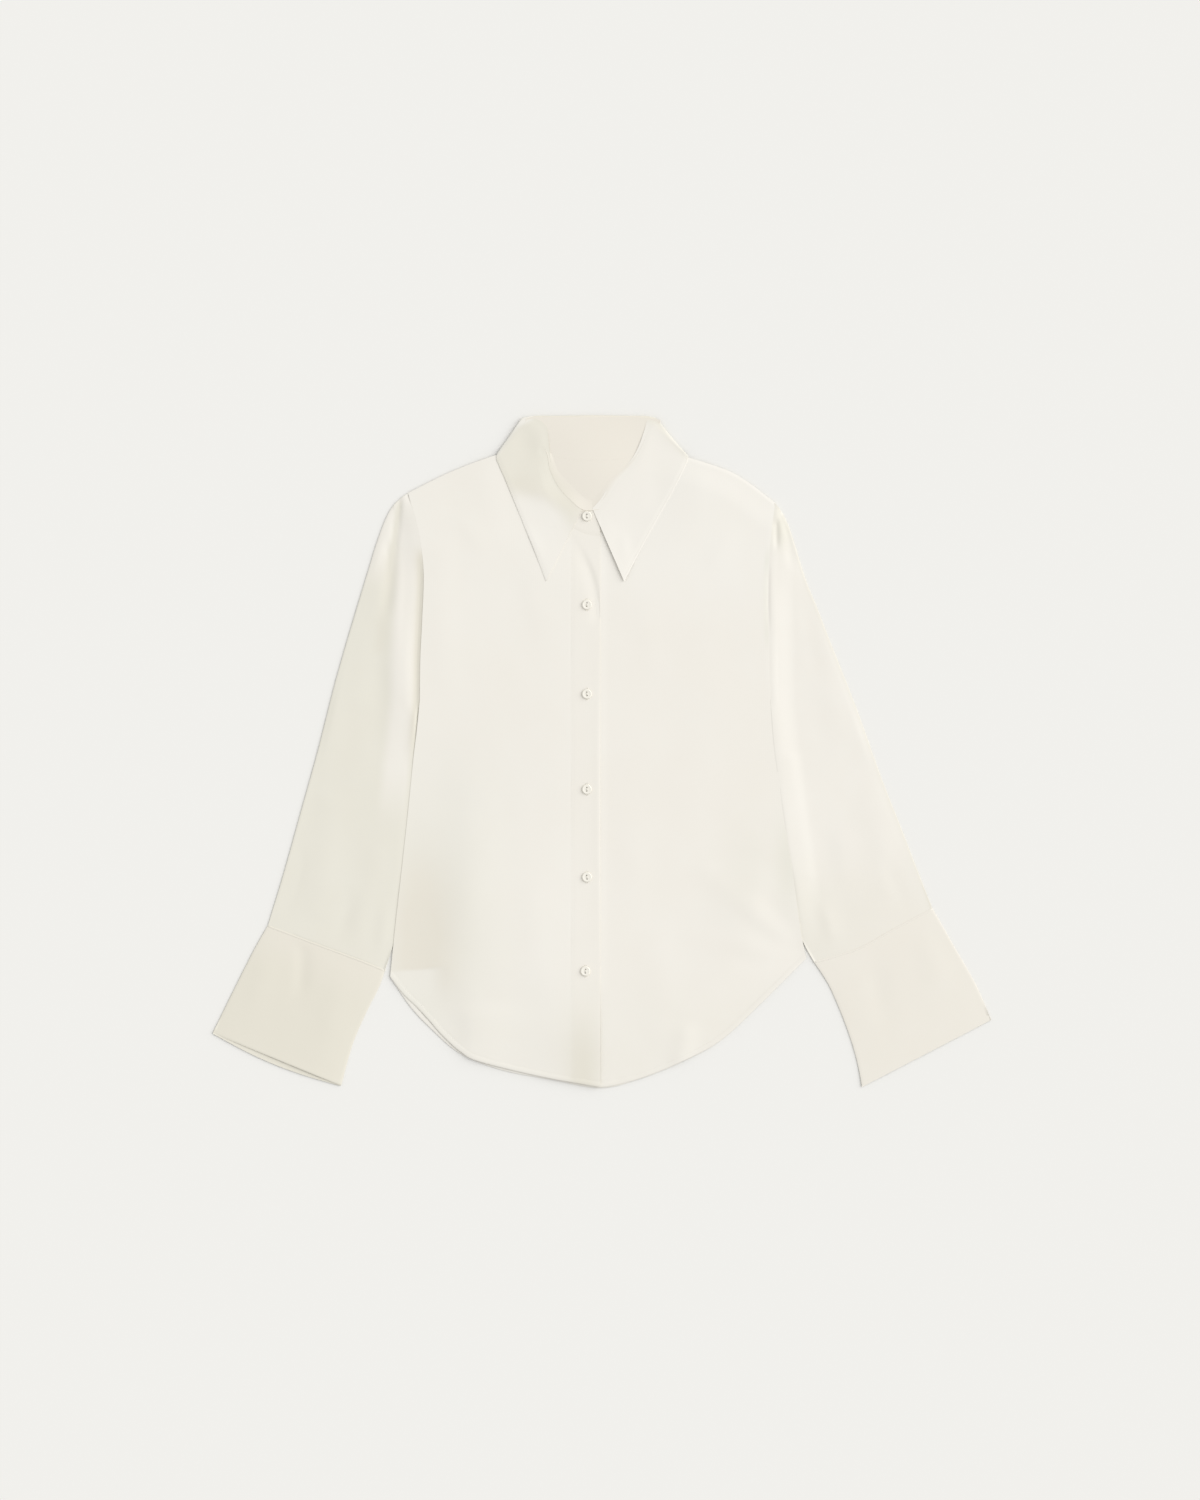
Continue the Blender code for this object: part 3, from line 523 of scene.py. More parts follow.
# %% Heights
NECK_MIDDLE = (-9.5, 285.0)
NECK_RADIUS = 60.0
COLLAR_BED = {"x0": -116, "x1": 97, "y0": 296, "slope": 58}  # where the collar's back lies under the body
UNDER_COLLAR = 0.8  # how much it lifts the body there
FRONT_HEIGHT = 1.4  # upper face of a front at its hem
BODY_RISE = 2.3  # how much higher it lies in the middle, on the air between the layers
THINNER_AT = {
    # share of that rise which is lost there, how far away it is back
    "flank": (0.8, 95.0),
    "hem": (0.7, 58.0),
    "neck": (0.6, 60.0),
    "shoulder": (0.6, 30.0),
}

front_hem = Edge([RIGHT_HEM + LEFT_HEM[2:]])
right_shoulder, left_shoulder = Edge([RIGHT_SHOULDER]), Edge([LEFT_SHOULDER])
right_flank, left_flank = Edge([RIGHT_ARMHOLE + RIGHT_SIDE[1:]]), Edge([LEFT_ARMHOLE + LEFT_SIDE[1:]])


def height_at(face, x, y):
    """A face's height at one place."""
    return float(face(np.array([x]), np.array([y]))[0])


def inside_flank(x, y, flank, side):
    """How far a place is inside the body's flank, measured level; below 0 it is under the sleeve."""
    line = flank.line[::-1]
    return (x - np.interp(y, line[:, 1], line[:, 0])) * side


def from_shoulders(x, y):
    return np.minimum(distance(x, y, right_shoulder.line), distance(x, y, left_shoulder.line))


def collar_lift(x, y):
    """How far the body is lifted where the back of the collar lies under it."""
    dx = np.maximum(np.maximum(COLLAR_BED["x0"] - x, x - COLLAR_BED["x1"]), 0)
    dy = np.maximum(COLLAR_BED["y0"] - y, 0)
    return UNDER_COLLAR * smooth(1 - np.hypot(dx, dy) / COLLAR_BED["slope"])


def body_rise(x, y):
    """How full the body lies: thin at its edges and low down at the right flank, full in the middle."""
    away = {
        "flank": inside_flank(x, y, right_flank, 1),
        "hem": distance(x, y, front_hem.line),
        "neck": np.hypot(x - NECK_MIDDLE[0], y - NECK_MIDDLE[1]) - NECK_RADIUS,
        "shoulder": from_shoulders(x, y),
    }
    rise = BODY_RISE
    for place, (loss, reach) in THINNER_AT.items():
        near = 1 - smooth(away[place] / reach)
        if place == "flank":
            near = near * ramp(y, 70, -40)
        rise = rise * (1 - loss * near)
    return rise


print("body rises", round(height_at(body_rise, 60.0, 0.0), 2), "mm in the middle")

# %% [markdown]
# ## The slumped side
# Low down on its right the front slumps into a short tuck. A crease of the tables could not end
# on one side only, so this fold has its own rule: it rises softly above the tuck and is cut off
# below it.

# %% Slump the right side
TUCK = {"x": -206, "y": -233, "slope": 0.09, "width": 2.5}  # it starts at the flank
SLUMP = 2.4  # how high the right front stands above the tuck
SLUMP_RIDGE = {"x": -132.0, "inner": 85.0, "outer": 46.0}  # and how far it reaches on either side


def above_tuck(x, y):
    """1 above the short tuck at the right flank and 0 below it; its line runs out at the inner end."""
    above = smooth((y - TUCK["y"] - TUCK["slope"] * (x - TUCK["x"])) / TUCK["width"])
    return above + (1 - above) * ramp(y, -290, -220) * ramp(x, -186, -160)


def slump(x, y):
    """The right front stands up along a soft ridge and slopes down from it to the flank."""
    aside = x - SLUMP_RIDGE["x"]
    ridge = bell(aside / np.where(aside > 0, SLUMP_RIDGE["inner"], SLUMP_RIDGE["outer"]))
    return SLUMP * ridge * ramp(y, -50, -170) * (1 - 0.35 * ramp(y, -150, -220)) * above_tuck(x, y)


print("slump", round(height_at(slump, SLUMP_RIDGE["x"], -160.0), 2), "mm high")

# %% [markdown]
# ## Outer faces
# All the parts of a front's height are added up here. The placket's step comes on slowly, because
# the upper front leans on the lower one from far off.

# %% Add up the fronts
PLACKET_STEP = 0.85  # how much higher the right front lies where it covers the left one


def body_swell(x, y):
    return 0.25 * drift(x, y, 74, 3.1) + 0.07 * drift(x, y, 27, 8.4)


def left_front_top(x, y):
    lying = FRONT_HEIGHT + body_rise(x, y) + collar_lift(x, y) + fold_height(BODY_FOLDS, x, y)
    return lying + crease_height(BODY_CREASES, x, y) + slump(x, y) + body_swell(x, y)


def right_front_top(x, y):
    return left_front_top(x, y) + PLACKET_STEP * ramp(x, -104, -42) + crease_height(PLACKET_CREASES, x, y)


def fronts_top(x, y):
    return np.where(x < FRONT_EDGE_X, right_front_top(x, y), left_front_top(x, y))


print("front lies", round(height_at(left_front_top, 60.0, 0.0), 2), "mm up")

# %% [markdown]
# ## Beside the armholes
# A sleeve hangs from a seam that pulls it down, so there is a trough under the armhole's edge.
# The sleeves and the left front both follow it, which keeps them together along the seam.


# %% Armhole troughs
def right_trough(x, y):
    """Where the right sleeve dives under the armhole's edge: faint at the shoulder, then deep."""
    depth = 0.2 + 1.0 * ramp(y, 215, 180)
    aside = -inside_flank(x, y, right_flank, 1)
    return depth * (0.5 + 0.5 * ramp(aside, 0, 4)) * ramp(aside, 21, 4)


def left_trough(x, y):
    """The left armhole's seam shows only halfway down."""
    depth = 0.1 + 0.45 * ramp(y, 118, 158) * ramp(y, 204, 179)
    return depth * bell(inside_flank(x, y, left_flank, -1) / 2.2)


print("right trough", round(height_at(right_trough, -196.0, 120.0), 2), "mm deep")

# %% [markdown]
# ## Sheets of cloth
# A cut piece has four edges, and its threads run from edge to edge. A filled curve would give one
# flat face with nothing to bend, so a grid is spread between the edges instead, and it can be
# finer where a fold or a stitched line needs it.


# %% Fill in panels
def close_steps(start, stop, count, fine=(), length=1.0):
    """Even steps, with closer ones at the given distances from the stop."""
    even = np.linspace(start, stop, count + 1)
    extra = stop - np.array(fine) / length
    if len(extra):
        even = even[even < extra.min() - 0.3 * (stop - start) / count]
    return np.unique(np.concatenate([even, extra]))


def patch(top, bottom, left, right, across, down):
    """Plan points of a four-sided panel, filled in between its four edges."""
    u, v = across[None, :, None], down[:, None, None]
    t, b = top.at(across)[None], bottom.at(across)[None]
    lf, rt = left.at(down)[:, None], right.at(down)[:, None]
    c0, c1, c2, c3 = t[:, :1], t[:, -1:], b[:, :1], b[:, -1:]
    corners = (1 - u) * (1 - v) * c0 + u * (1 - v) * c1 + (1 - u) * v * c2 + u * v * c3
    return (1 - v) * t + v * b + (1 - u) * lf + u * rt - corners


print("steps that crowd towards a hem:", close_steps(0.0, 1.0, 4, (0.0, 5.0), 100.0).round(2))

# %% [markdown]
# ## Two faces
# A Solidify modifier could give cloth its thickness, but would push a face through the layer
# below wherever the cloth is steep. So each sheet has two grids of points, one for either face,
# closed along their edges. Its UV map is the cloth's own measure in metres, and its attributes
# carry the two tones that the silk reads.


# %% Close the walls
def shell(name, outer, inner, cloth, layered_and_shaded, painted_shade, round_it=False):
    """Two walls of cloth from grids of points in millimetres, closed along their edges."""
    rows, columns = outer.shape[:2]
    here = np.arange(rows * columns).reshape(rows, columns)
    below = rows * columns
    i, j = np.meshgrid(np.arange(rows - 1), np.arange(columns if round_it else columns - 1), indexing="ij")
    k = (j + 1) % columns
    top = np.stack([here[i, j], here[i + 1, j], here[i + 1, k], here[i, k]], -1).reshape(-1, 4)
    top_map = np.stack([cloth[i, j], cloth[i + 1, j], cloth[i + 1, j + 1], cloth[i, j + 1]], -2)
    top_map = top_map.reshape(-1, 4, 2)
    ends = [(here[-1], cloth[-1]), (here[0, ::-1], cloth[0, ::-1])]
    if round_it:
        ends = [(np.append(here[-1], here[-1, 0]), cloth[-1]),
                (np.append(here[0], here[0, 0])[::-1], cloth[0, ::-1])]
    else:
        ends += [(here[:, 0], cloth[:, 0]), (here[::-1, -1], cloth[::-1, -1])]
    faces, maps = [top, top[:, ::-1] + below], [top_map, top_map[:, ::-1]]
    for line, line_map in ends:
        a, b = line[:-1], line[1:]
        faces.append(np.stack([b, a, a + below, b + below], -1))
        maps.append(np.stack([line_map[1:], line_map[:-1], line_map[:-1], line_map[1:]], -2))
    faces, maps = np.concatenate(faces), np.concatenate(maps)
    points = np.concatenate([outer.reshape(-1, 3), inner.reshape(-1, 3)]) * MM
    corners = points[faces]
    volume = np.einsum("ij,ij->", corners[:, 0], np.cross(corners[:, 1], corners[:, 2]))
    volume += np.einsum("ij,ij->", corners[:, 0], np.cross(corners[:, 2], corners[:, 3]))
    if volume < 0:
        faces, maps = faces[:, ::-1], maps[:, ::-1]
    mesh = bpy.data.meshes.new(name)
    mesh.from_pydata(points.tolist(), [], faces.tolist())
    mesh.uv_layers.new(name="cloth").data.foreach_set("uv", np.ravel(maps * MM).astype(np.float32))
    # Each point's two tones: layers with painted shade, and painted shade alone.
    for label, value in (("layered_and_shaded", layered_and_shaded), ("painted_shade", painted_shade)):
        spread_out = np.concatenate([np.ravel(np.broadcast_to(value, (rows, columns)))] * 2)
        mesh.attributes.new(label, "FLOAT", "POINT").data.foreach_set("value", spread_out.astype(np.float32))
    mesh.shade_smooth()
    mesh.set_sharp_from_angle(angle=math.radians(55))
    mesh.materials.append(SILK)
    spans = np.cross(corners[:, 2] - corners[:, 0], corners[:, 3] - corners[:, 1])
    area = np.linalg.norm(spans, axis=1).sum() / 4  # two walls, so half of the surface
    print(f"{name}: {len(faces) * 2} triangles, {area:.4f} m2 of cloth")
    return place_object(name, mesh)


def declare(piece, node):
    """Attaches a sheet to the root body and hides the solid that it stands for."""
    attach(piece, "root")
    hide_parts(node)


print("every sheet is", SILK.name)

# %% [markdown]
# ## Body
# Each panel is filled in between its four edges, as a sheet is stretched in a frame, because the
# grain of the silk then runs along the panel. The rows crowd at the hem, where a narrow turned
# edge is stitched down.

# %% Panel edges
NECK_SHARE, ARMHOLE_SHARE = 0.2, 0.42  # how far down a front its neck and its armhole reach
SIDE_SHARES = (ARMHOLE_SHARE, 1 - ARMHOLE_SHARE)
NECK_SHARES = (NECK_SHARE, 1 - NECK_SHARE)
SHOULDER_SHARE = 0.35  # of the back's upper edge, on either side of its neck
NECK_ROWS, ARMHOLE_ROWS, BODY_ROWS = 56, 60, 170
HEM_ROWS = (0.0, 0.3, 0.9, 2.2, 3.6, 4.3, 4.8, 5.3, 5.9, 7.2)  # from the hem
PANEL_LENGTH = 600.0
HEM_TURN, HEM_STEP = 5.0, 0.16  # width of the turned-up hem and height of its edge
SHOULDER_ROLL = {"depth": 0.5, "over": 3.0}


def beside(points, side, amounts):
    """A side seam moved away from the body by an amount at each of its points."""
    return [(x - side * amount, y) for (x, y), amount in zip(points, amounts)]


def hem_height(x, y, hem):
    """A turned hem: a low step at its stitches, a little pucker, and a rounded edge."""
    away = distance(x, y, hem)
    turned = HEM_STEP * ramp(away, HEM_TURN + 0.5, HEM_TURN - 0.5)
    pucker = 0.12 * drift(x, y, 9, 5.5) * bell((away - HEM_TURN) / 4.0)
    pull = -0.1 * bell((away - HEM_TURN) / 0.8)
    rounding = -0.3 * ramp(away, 0.9, 0.0)
    return turned + pucker + pull + rounding


def shoulder_drop(x, y, shoulder):
    near = 1 - smooth(distance(x, y, shoulder) / SHOULDER_ROLL["over"])
    return SHOULDER_ROLL["depth"] * near ** 1.5


right_side, left_side = beside(RIGHT_SIDE, 1, OVER_SLEEVE), beside(LEFT_SIDE, -1, OVER_SLEEVE)
right_edge = Edge([RIGHT_ARMHOLE, right_side], SIDE_SHARES)
left_edge = Edge([LEFT_ARMHOLE, left_side], SIDE_SHARES)
right_hem = Edge([[right_side[-1]] + RIGHT_HEM[1:]])
left_hem = Edge([LEFT_HEM[:-1] + [left_side[-1]]])
back_hem = Edge([[right_side[-1]] + BACK_HEM[1:-1] + [left_side[-1]]])
front_rows = np.unique(np.concatenate([
    np.linspace(0, NECK_SHARE, NECK_ROWS), np.linspace(NECK_SHARE, ARMHOLE_SHARE, ARMHOLE_ROWS),
    close_steps(ARMHOLE_SHARE, 1.0, BODY_ROWS, HEM_ROWS, PANEL_LENGTH),
]))
print("rows down a front", len(front_rows))

# %% [markdown]
# ## Fronts
# The right front buttons over the left one. Its facing is folded back behind the edge and shows
# as a faint line down the placket. A displaced plane would give the same relief, but its edges
# would wander, so each face is a sum of heights that knows how far away every edge is.


# %% Fronts' faces
FACING = 30.0  # width of the fold behind the front edge


def front_right_face(x, y):
    """Outer face of the right front: the layer that buttons over."""
    edge = FRONT_EDGE_X - x
    stitched = -0.10 * bell((edge - FACING) / 1.3) + 0.05 * ramp(edge, FACING, FACING - 1.5)
    soft_edge = -0.05 * ramp(edge, 1.1, 0.0) * ramp(y, 226, 218)
    return (right_front_top(x, y) + stitched + soft_edge
            - shoulder_drop(x, y, right_shoulder.line) + hem_height(x, y, right_hem.line))


def front_left_face(x, y):
    """Outer face of the left front, which rises a little to the edge that lies on it."""
    edge = x - FRONT_EDGE_X
    toe = 0.25 * ramp(y, -262, -246) * ramp(edge, 8, 0) * ramp(edge, -9, -1)
    return (left_front_top(x, y) + toe - left_trough(x, y) * ramp(y, 50, 90)
            - shoulder_drop(x, y, left_shoulder.line) + hem_height(x, y, left_hem.line))


height = height_at(front_right_face, -60.0, 0.0)
print("right front lies", round(height, 2), "mm up beside its placket")

# %% [markdown]
# ## The fronts' tones
# Where a front slumps or curls, shade is painted into the two tones. Painting it keeps the silk's
# sheen, which a rougher shader would lose.


# %% Tint the fronts
def front_right_tone(x, y):
    """Layers deepen the ivory over the facing; painted shade lies on the slumped side, low down, at the
    placket's foot and at the hem.
    """
    above = above_tuck(x, y)
    facing = 0.14 * ramp(FRONT_EDGE_X - x, FACING + 2, FACING - 2)
    slump_shade = 1.1 * bell((x + 192) / 32) * ramp(y, -60, -200) * above
    low_shade = ramp(x, -60, -160) * (0.05 + 0.52 * ramp(y, 60, -130)) * above
    placket_foot_shade = bell((x + 20) / 19) * ramp(y, -240, -340)
    hem_shade = 0.2 * ramp(y, -225, -285) + 0.4 * (1 - above) * ramp(x, -150, -190)
    return 0.2 + facing + slump_shade + 0.5 * placket_foot_shade, 0.05 + low_shade + hem_shade + 0.65 * placket_foot_shade


def front_left_tone(x, y):
    """Painted shade in the dent above the hem, at the hem and in a line beside the armhole's seam; painted
    light up high, where the deeper ivory falls off.
    """
    dent_shade = 0.35 * spot(x, y, 157, -125, 28, 50) + 0.8 * spot(x, y, 197, -118, 13, 46)
    seam_shade = bell((inside_flank(x, y, left_flank, -1) - 2.2) / 2.6)
    seam_shade = 0.75 * seam_shade * ramp(y, 100, 130) * ramp(y, 222, 202)
    return 0.28 - 0.25 * ramp(y, 120, 210), dent_shade + 0.2 * ramp(y, -225, -285) + seam_shade


tones = front_left_tone(np.array([197.0]), np.array([-118.0]))
print("left front's dent, deep and turned:", [round(tone.item(), 2) for tone in tones])

# %% [markdown]
# ## Cutting the fronts
# The outline, the face and the tones meet in one sheet. Columns crowd at the front edge, so that
# it stays crisp under the buttons.

# %% Make the fronts
CLOTH = 0.5  # a panel of silk with its seam allowance
LOWEST = 0.05  # nothing lies closer to the ground


def make_panel(name, plan, face, tone):
    x, y = plan[..., 0], plan[..., 1]
    z = face(x, y)
    under = np.maximum(z - CLOTH, LOWEST)
    cloth = plan - np.array(LOOKED_AT)
    return shell(name, np.dstack([x, y, z]), np.dstack([x, y, under]), cloth, *tone(x, y))


across_front = close_steps(0.0, 1.0, 96, (0.0, 0.35, 0.9, 1.8), 215.0)
right_opening = Edge([RIGHT_NECK, [RIGHT_NECK[-1], RIGHT_HEM[-1]]], NECK_SHARES)
left_opening = Edge([LEFT_NECK, [LEFT_NECK[-1], LEFT_HEM[0]]], NECK_SHARES)
front_right = make_panel(
    "front_right_silk",
    patch(right_shoulder, right_hem, right_edge, right_opening, across_front, front_rows),
    front_right_face, front_right_tone)
front_left = make_panel(
    "front_left_silk",
    patch(left_shoulder, left_hem, left_opening, left_edge, 1 - across_front[::-1], front_rows),
    front_left_face, front_left_tone)
declare(front_right, "front_right")
declare(front_left, "front_left")

# %% [markdown]
# ## Back
# One panel from shoulder to hem, the lowest layer. Only its inside shows, at the neck, where the
# collar's back part lies under it and bulges it up. It is made as the fronts are, because the
# stitches inside the neck need its face too.

# %% Back
BACK_HEIGHT = 0.65  # upper face of the back, which lies on the ground


def back_face(x, y):
    """Upper face of the back, the blouse's inside."""
    lift = 0.6 * ramp(from_shoulders(x, y), 3.5, 0.0)
    bulge = 3.4 * spot(x, y, NECK_MIDDLE[0], 305, 62, 50)
    curl = 0.15 * np.exp(-distance(x, y, back_hem.line) / 14)
    hem = np.maximum(hem_height(x, y, back_hem.line), -0.2)
    return (BACK_HEIGHT + collar_lift(x, y) + lift + bulge + curl + hem
            + crease_height(BACK_CREASES, x, y) + 0.08 * drift(x, y, 60, 1.7))


# Painted shade: the back's inside is painted deeper towards the neck, where the collar shades it.
def back_tone(x, y):
    return 0.2 + 0.9 * ramp(y, 200, 260), 0.1


back_down = np.unique(np.concatenate([
    np.linspace(0, ARMHOLE_SHARE, 90), close_steps(ARMHOLE_SHARE, 1.0, 90, HEM_ROWS, PANEL_LENGTH)]))
back_across = np.unique(np.concatenate([
    np.linspace(0, SHOULDER_SHARE, 45), np.linspace(SHOULDER_SHARE, 1 - SHOULDER_SHARE, 50),
    np.linspace(1 - SHOULDER_SHARE, 1, 45)]))
back_top = Edge([right_shoulder.line[::12], BACK_NECK, left_shoulder.line[::12]],
                (SHOULDER_SHARE, 1 - 2 * SHOULDER_SHARE, SHOULDER_SHARE))
back = make_panel(
    "back_silk",
    patch(back_top, back_hem, right_edge, left_edge, back_across, back_down), back_face, back_tone)
declare(back, "back")

# %% [markdown]
# ## Flat tubes
# A sleeve that lies flat is a tube pressed nearly shut, with a soft fold down either side. A
# cylinder could be squashed, but its rings would not follow the seams. Here each ring crosses
# the sleeve: over the upper layer, round the inner fold, and back along the lower one. Near the
# armhole the rings bow like the seam.

# %% Flat tubes
FOLD_TURNS = np.radians((-64, -38, -13, 13, 38, 64))
UPPER_STEPS, LOWER_STEPS = 54, 26
BOWED = 0.4  # share of a sleeve's length over which its rings bow like the seam at that end
ON_GROUND = 0.06  # height of a tube's lower layer
LIFT_ACROSS = (0.66, 0.91)  # shares of the way across between which the inner side is lifted


def chord(outer, inner, bows):
    """A way across a sleeve from its outer fold to its inner one, bowed like the seams near it."""

    def at(share):
        place = outer + (inner - outer) * share[:, None]
        for seam, amount in bows:
            on, ends = seam.at(share), seam.at([0.0, 1.0])
            place = place + amount * (on - ends[0] - (ends[1] - ends[0]) * share[:, None])
        return place

    return at


def fold_tops(outer_lift, inner_lift, radii):
    """Heights of the tops of a tube's outer and inner folds."""
    return ON_GROUND + outer_lift + 2 * radii[0], ON_GROUND + inner_lift + 2 * radii[1]


def flat_ring(at, length, lower, upper, radii, wall, ripple=0.0):
    """Outer and inner points round a flattened tube; its lower layer ripples with the upper one's folds."""
    out, inn = radii
    over = np.linspace(out / length, 1 - inn / length, UPPER_STEPS)
    under = np.linspace(1 - inn / length, out / length, LOWER_STEPS)
    turns = len(FOLD_TURNS)
    loops = []
    for inset in (0.0, wall):
        first = (out - (out - inset) * np.cos(FOLD_TURNS)) / length
        last = 1 - (inn - (inn - inset) * np.cos(FOLD_TURNS[::-1])) / length
        plan = at(np.concatenate([first, over, last, under]))
        x, y = plan[turns:turns + UPPER_STEPS].T
        arched = ripple * np.clip(fold_height(SLEEVE_FOLDS, *plan[-LOWER_STEPS:].T) * 2, 0, 1)
        arched = arched * smooth(under * length / 20) * smooth((1 - under) * length / 20)
        z = np.concatenate([
            lower(first) + out + (out - inset) * np.sin(FOLD_TURNS), upper(over, x, y) - inset,
            lower(last) + inn + (inn - inset) * np.sin(FOLD_TURNS[::-1]), lower(under) + arched + inset])
        loops.append(np.column_stack([plan, z]))
    return loops


def measured(points):
    """Distance along each row of a grid of points, from its start."""
    steps = np.linalg.norm(np.diff(points, axis=1), axis=2)
    return np.concatenate([np.zeros((len(points), 1)), np.cumsum(steps, axis=1)], axis=1)


def tube(name, rings, layered_and_shaded, painted_shade):
    outer, inner = np.array(rings).transpose(1, 0, 2, 3)
    around = measured(np.concatenate([outer, outer[:, :1]], axis=1))
    down = along(outer[:, UPPER_STEPS // 2])
    cloth = np.dstack([around, np.broadcast_to(down[:, None], around.shape)])
    return shell(name, outer, inner, cloth, layered_and_shaded, painted_shade, round_it=True), outer


print("a ring has", 2 * len(FOLD_TURNS) + UPPER_STEPS + LOWER_STEPS, "points")

# %% [markdown]
# ## Sleeves
# Each sleeve leaves the body at the body's own height and falls flat towards its outer fold. The
# right one dives into a trough beside the armhole and stands up as a roll, and the left one
# leaves the body level. So each has its own rule for the height of its upper layer.


# %% Shape the sleeves
def plump(distance_in, over=9.0):
    """How full a tube is at a distance in from its fold."""
    return 1 - np.exp(-distance_in / over)


def right_sleeve_form(out, inn, down, edge_out, edge_in, *_):
    """It climbs from the outer fold all the way to a crest near the body, and drops to the body."""
    before = np.minimum(22.0 - 8 * ramp(down, 0.3, 0.7), 0.45 * (out + inn))
    crest = edge_in + 0.3 + 1.7 * ramp(down, 0.32, 0.08)
    climb = np.clip(out / (out + inn - before), 0, 1)
    rising = edge_out + (crest - edge_out) * (1 - (1 - climb) ** 1.35)
    return np.where(inn < before, edge_in + (crest - edge_in) * smooth(inn / before), rising)


def left_sleeve_form(out, inn, down, edge_out, edge_in, x, y):
    """A roll that leaves the body's flank at the body's own height and drops to a flat sleeve."""
    aside = -inside_flank(x, y, left_flank, -1)
    body = left_front_top(x, y)
    crest = body + (edge_in + 0.1 - body) * ramp(down, 0.68, 0.95)
    flat = edge_out + (0.3 + 1.2 * ramp(y, 150, 200)) * plump(out, 24.0)
    roll = edge_in + (crest - edge_in) * smooth(inn / 4)
    share = ramp(aside, 28, 1) * smooth(out / 16)
    return roll * share + flat * (1 - share)


def right_cuff_form(out, inn, edge_out, edge_in):
    share = out / (out + inn)
    return edge_out + (edge_in - edge_out) * share + (0.3 * plump(out) + 1.8 * share) * plump(inn, 24.0)


def left_cuff_form(out, inn, edge_out, edge_in):
    share = out / (out + inn)
    return edge_out + (edge_in - edge_out) * share + 0.6 * plump(out, 24.0) * plump(inn, 24.0)


across = np.array([10.0, 60.0, 110.0])
heights = right_sleeve_form(across, 120.0 - across, 0.5, 0.9, 1.2)
print("right sleeve, from its outer fold inwards:", heights.round(2), "mm high")

# %% [markdown]
# ## The sleeves' tones
# The trough beside the right armhole is the darkest place of the blouse, and the roll beside it
# catches the light; both are painted into the tones, as shade and as highlight. The right sleeve
# is painted in shade all over apart from its roll, and down the left sleeve the painted shade
# grows slowly.

# %% Tint the sleeves
HEAD_FOLD = np.array([(-215.0, 262.0), (-219.0, 232.0), (-224.0, 196.0), (-230.0, 150.0), (-236.0, 110.0)])


def right_sleeve_tone(x, y):
    """Painted shade over the sleeve, deepest in the trough and in the head's fold, and a painted highlight on
    the roll beside the trough and high up.
    """
    aside = -inside_flank(x, y, right_flank, 1)
    trough_shade = bell((aside - 1) / 6.5) * ramp(y, 222, 197) * ramp(y, -20, 30)
    on_roll = ramp(aside, 1, 8) * ramp(aside, 38, 24) * ramp(y, -95, -5)
    fold_shade = bell(distance(x, y, HEAD_FOLD) / (3.5 + 3.5 * ramp(y, 240, 190)))
    painted_highlight = np.maximum(on_roll, ramp(y, 160, 215)) * (1 - trough_shade) * (1 - 0.9 * fold_shade)
    return 0.55 + 0.9 * trough_shade + 0.25 * fold_shade - 0.3 * painted_highlight, 1.0 - 0.95 * painted_highlight


def left_sleeve_tone(x, y):
    """Painted shade low down, at the sleeve's head and along its outer fold."""
    low = ramp(y, -90, -170)
    near_body = bell(inside_flank(x, y, left_flank, -1) / 50)
    rim_shade = smooth(1 - distance(x, y, Edge([LEFT_FOLD]).line) / 3.5)
    head_shade = spot(x, y, 192, 240, 13, 26)
    painted_shade = 0.5 * low * (0.45 + 0.55 * near_body) + np.maximum(0.6 * rim_shade, 0.95 * head_shade)
    return 0.25 + 0.25 * low + 0.4 * np.maximum(rim_shade, head_shade), painted_shade


tones = right_sleeve_tone(np.array([-193.0]), np.array([120.0]))
print("right sleeve's trough, deep and turned:", [round(tone.item(), 2) for tone in tones])

# %% [markdown]
# ## Setting the sleeves in
# Rings run from the armhole to the cuff. The first ones take the body's height and the last ones
# the cuff's, and one more ring at either end is tucked in under the neighbour, so no gap shows.

# %% Make the sleeves
SLEEVE_RADII = (0.45, 0.58)  # of the fold at the outside and beside the body
SLEEVE_CLOTH = 0.38
SLEEVE_RINGS, RING_CROWDING = 215, 1.25  # the rings lie closer together near the armhole
RIGHT_JOIN, LEFT_JOIN = 22.0, 10.0  # over this distance a sleeve takes the body's height
RIGHT_LIFT, LEFT_LIFT = 0.15, 1.9  # how high the fold beside the body springs up
CURL = 0.12  # how far the outer folds spring up from the ground
CUFF_JOIN = 34.0
CUFF_REST = 0.85  # how much of the lift is gone at the cuff
CUFF_RADII = (0.42, 0.42)
CUFF_OVER = 0.12  # how much higher a cuff lies than the sleeve in it


def tucked_in(loops, direction, reach):
    """A ring like the given one, moved under the neighbouring piece, with its upper layer sunk."""
    move = np.array(direction) / np.linalg.norm(direction) * reach
    return [np.column_stack([p[:, :2] + move, p[:, 2] - 0.5 * (p[:, 2] > 1.5)]) for p in loops]


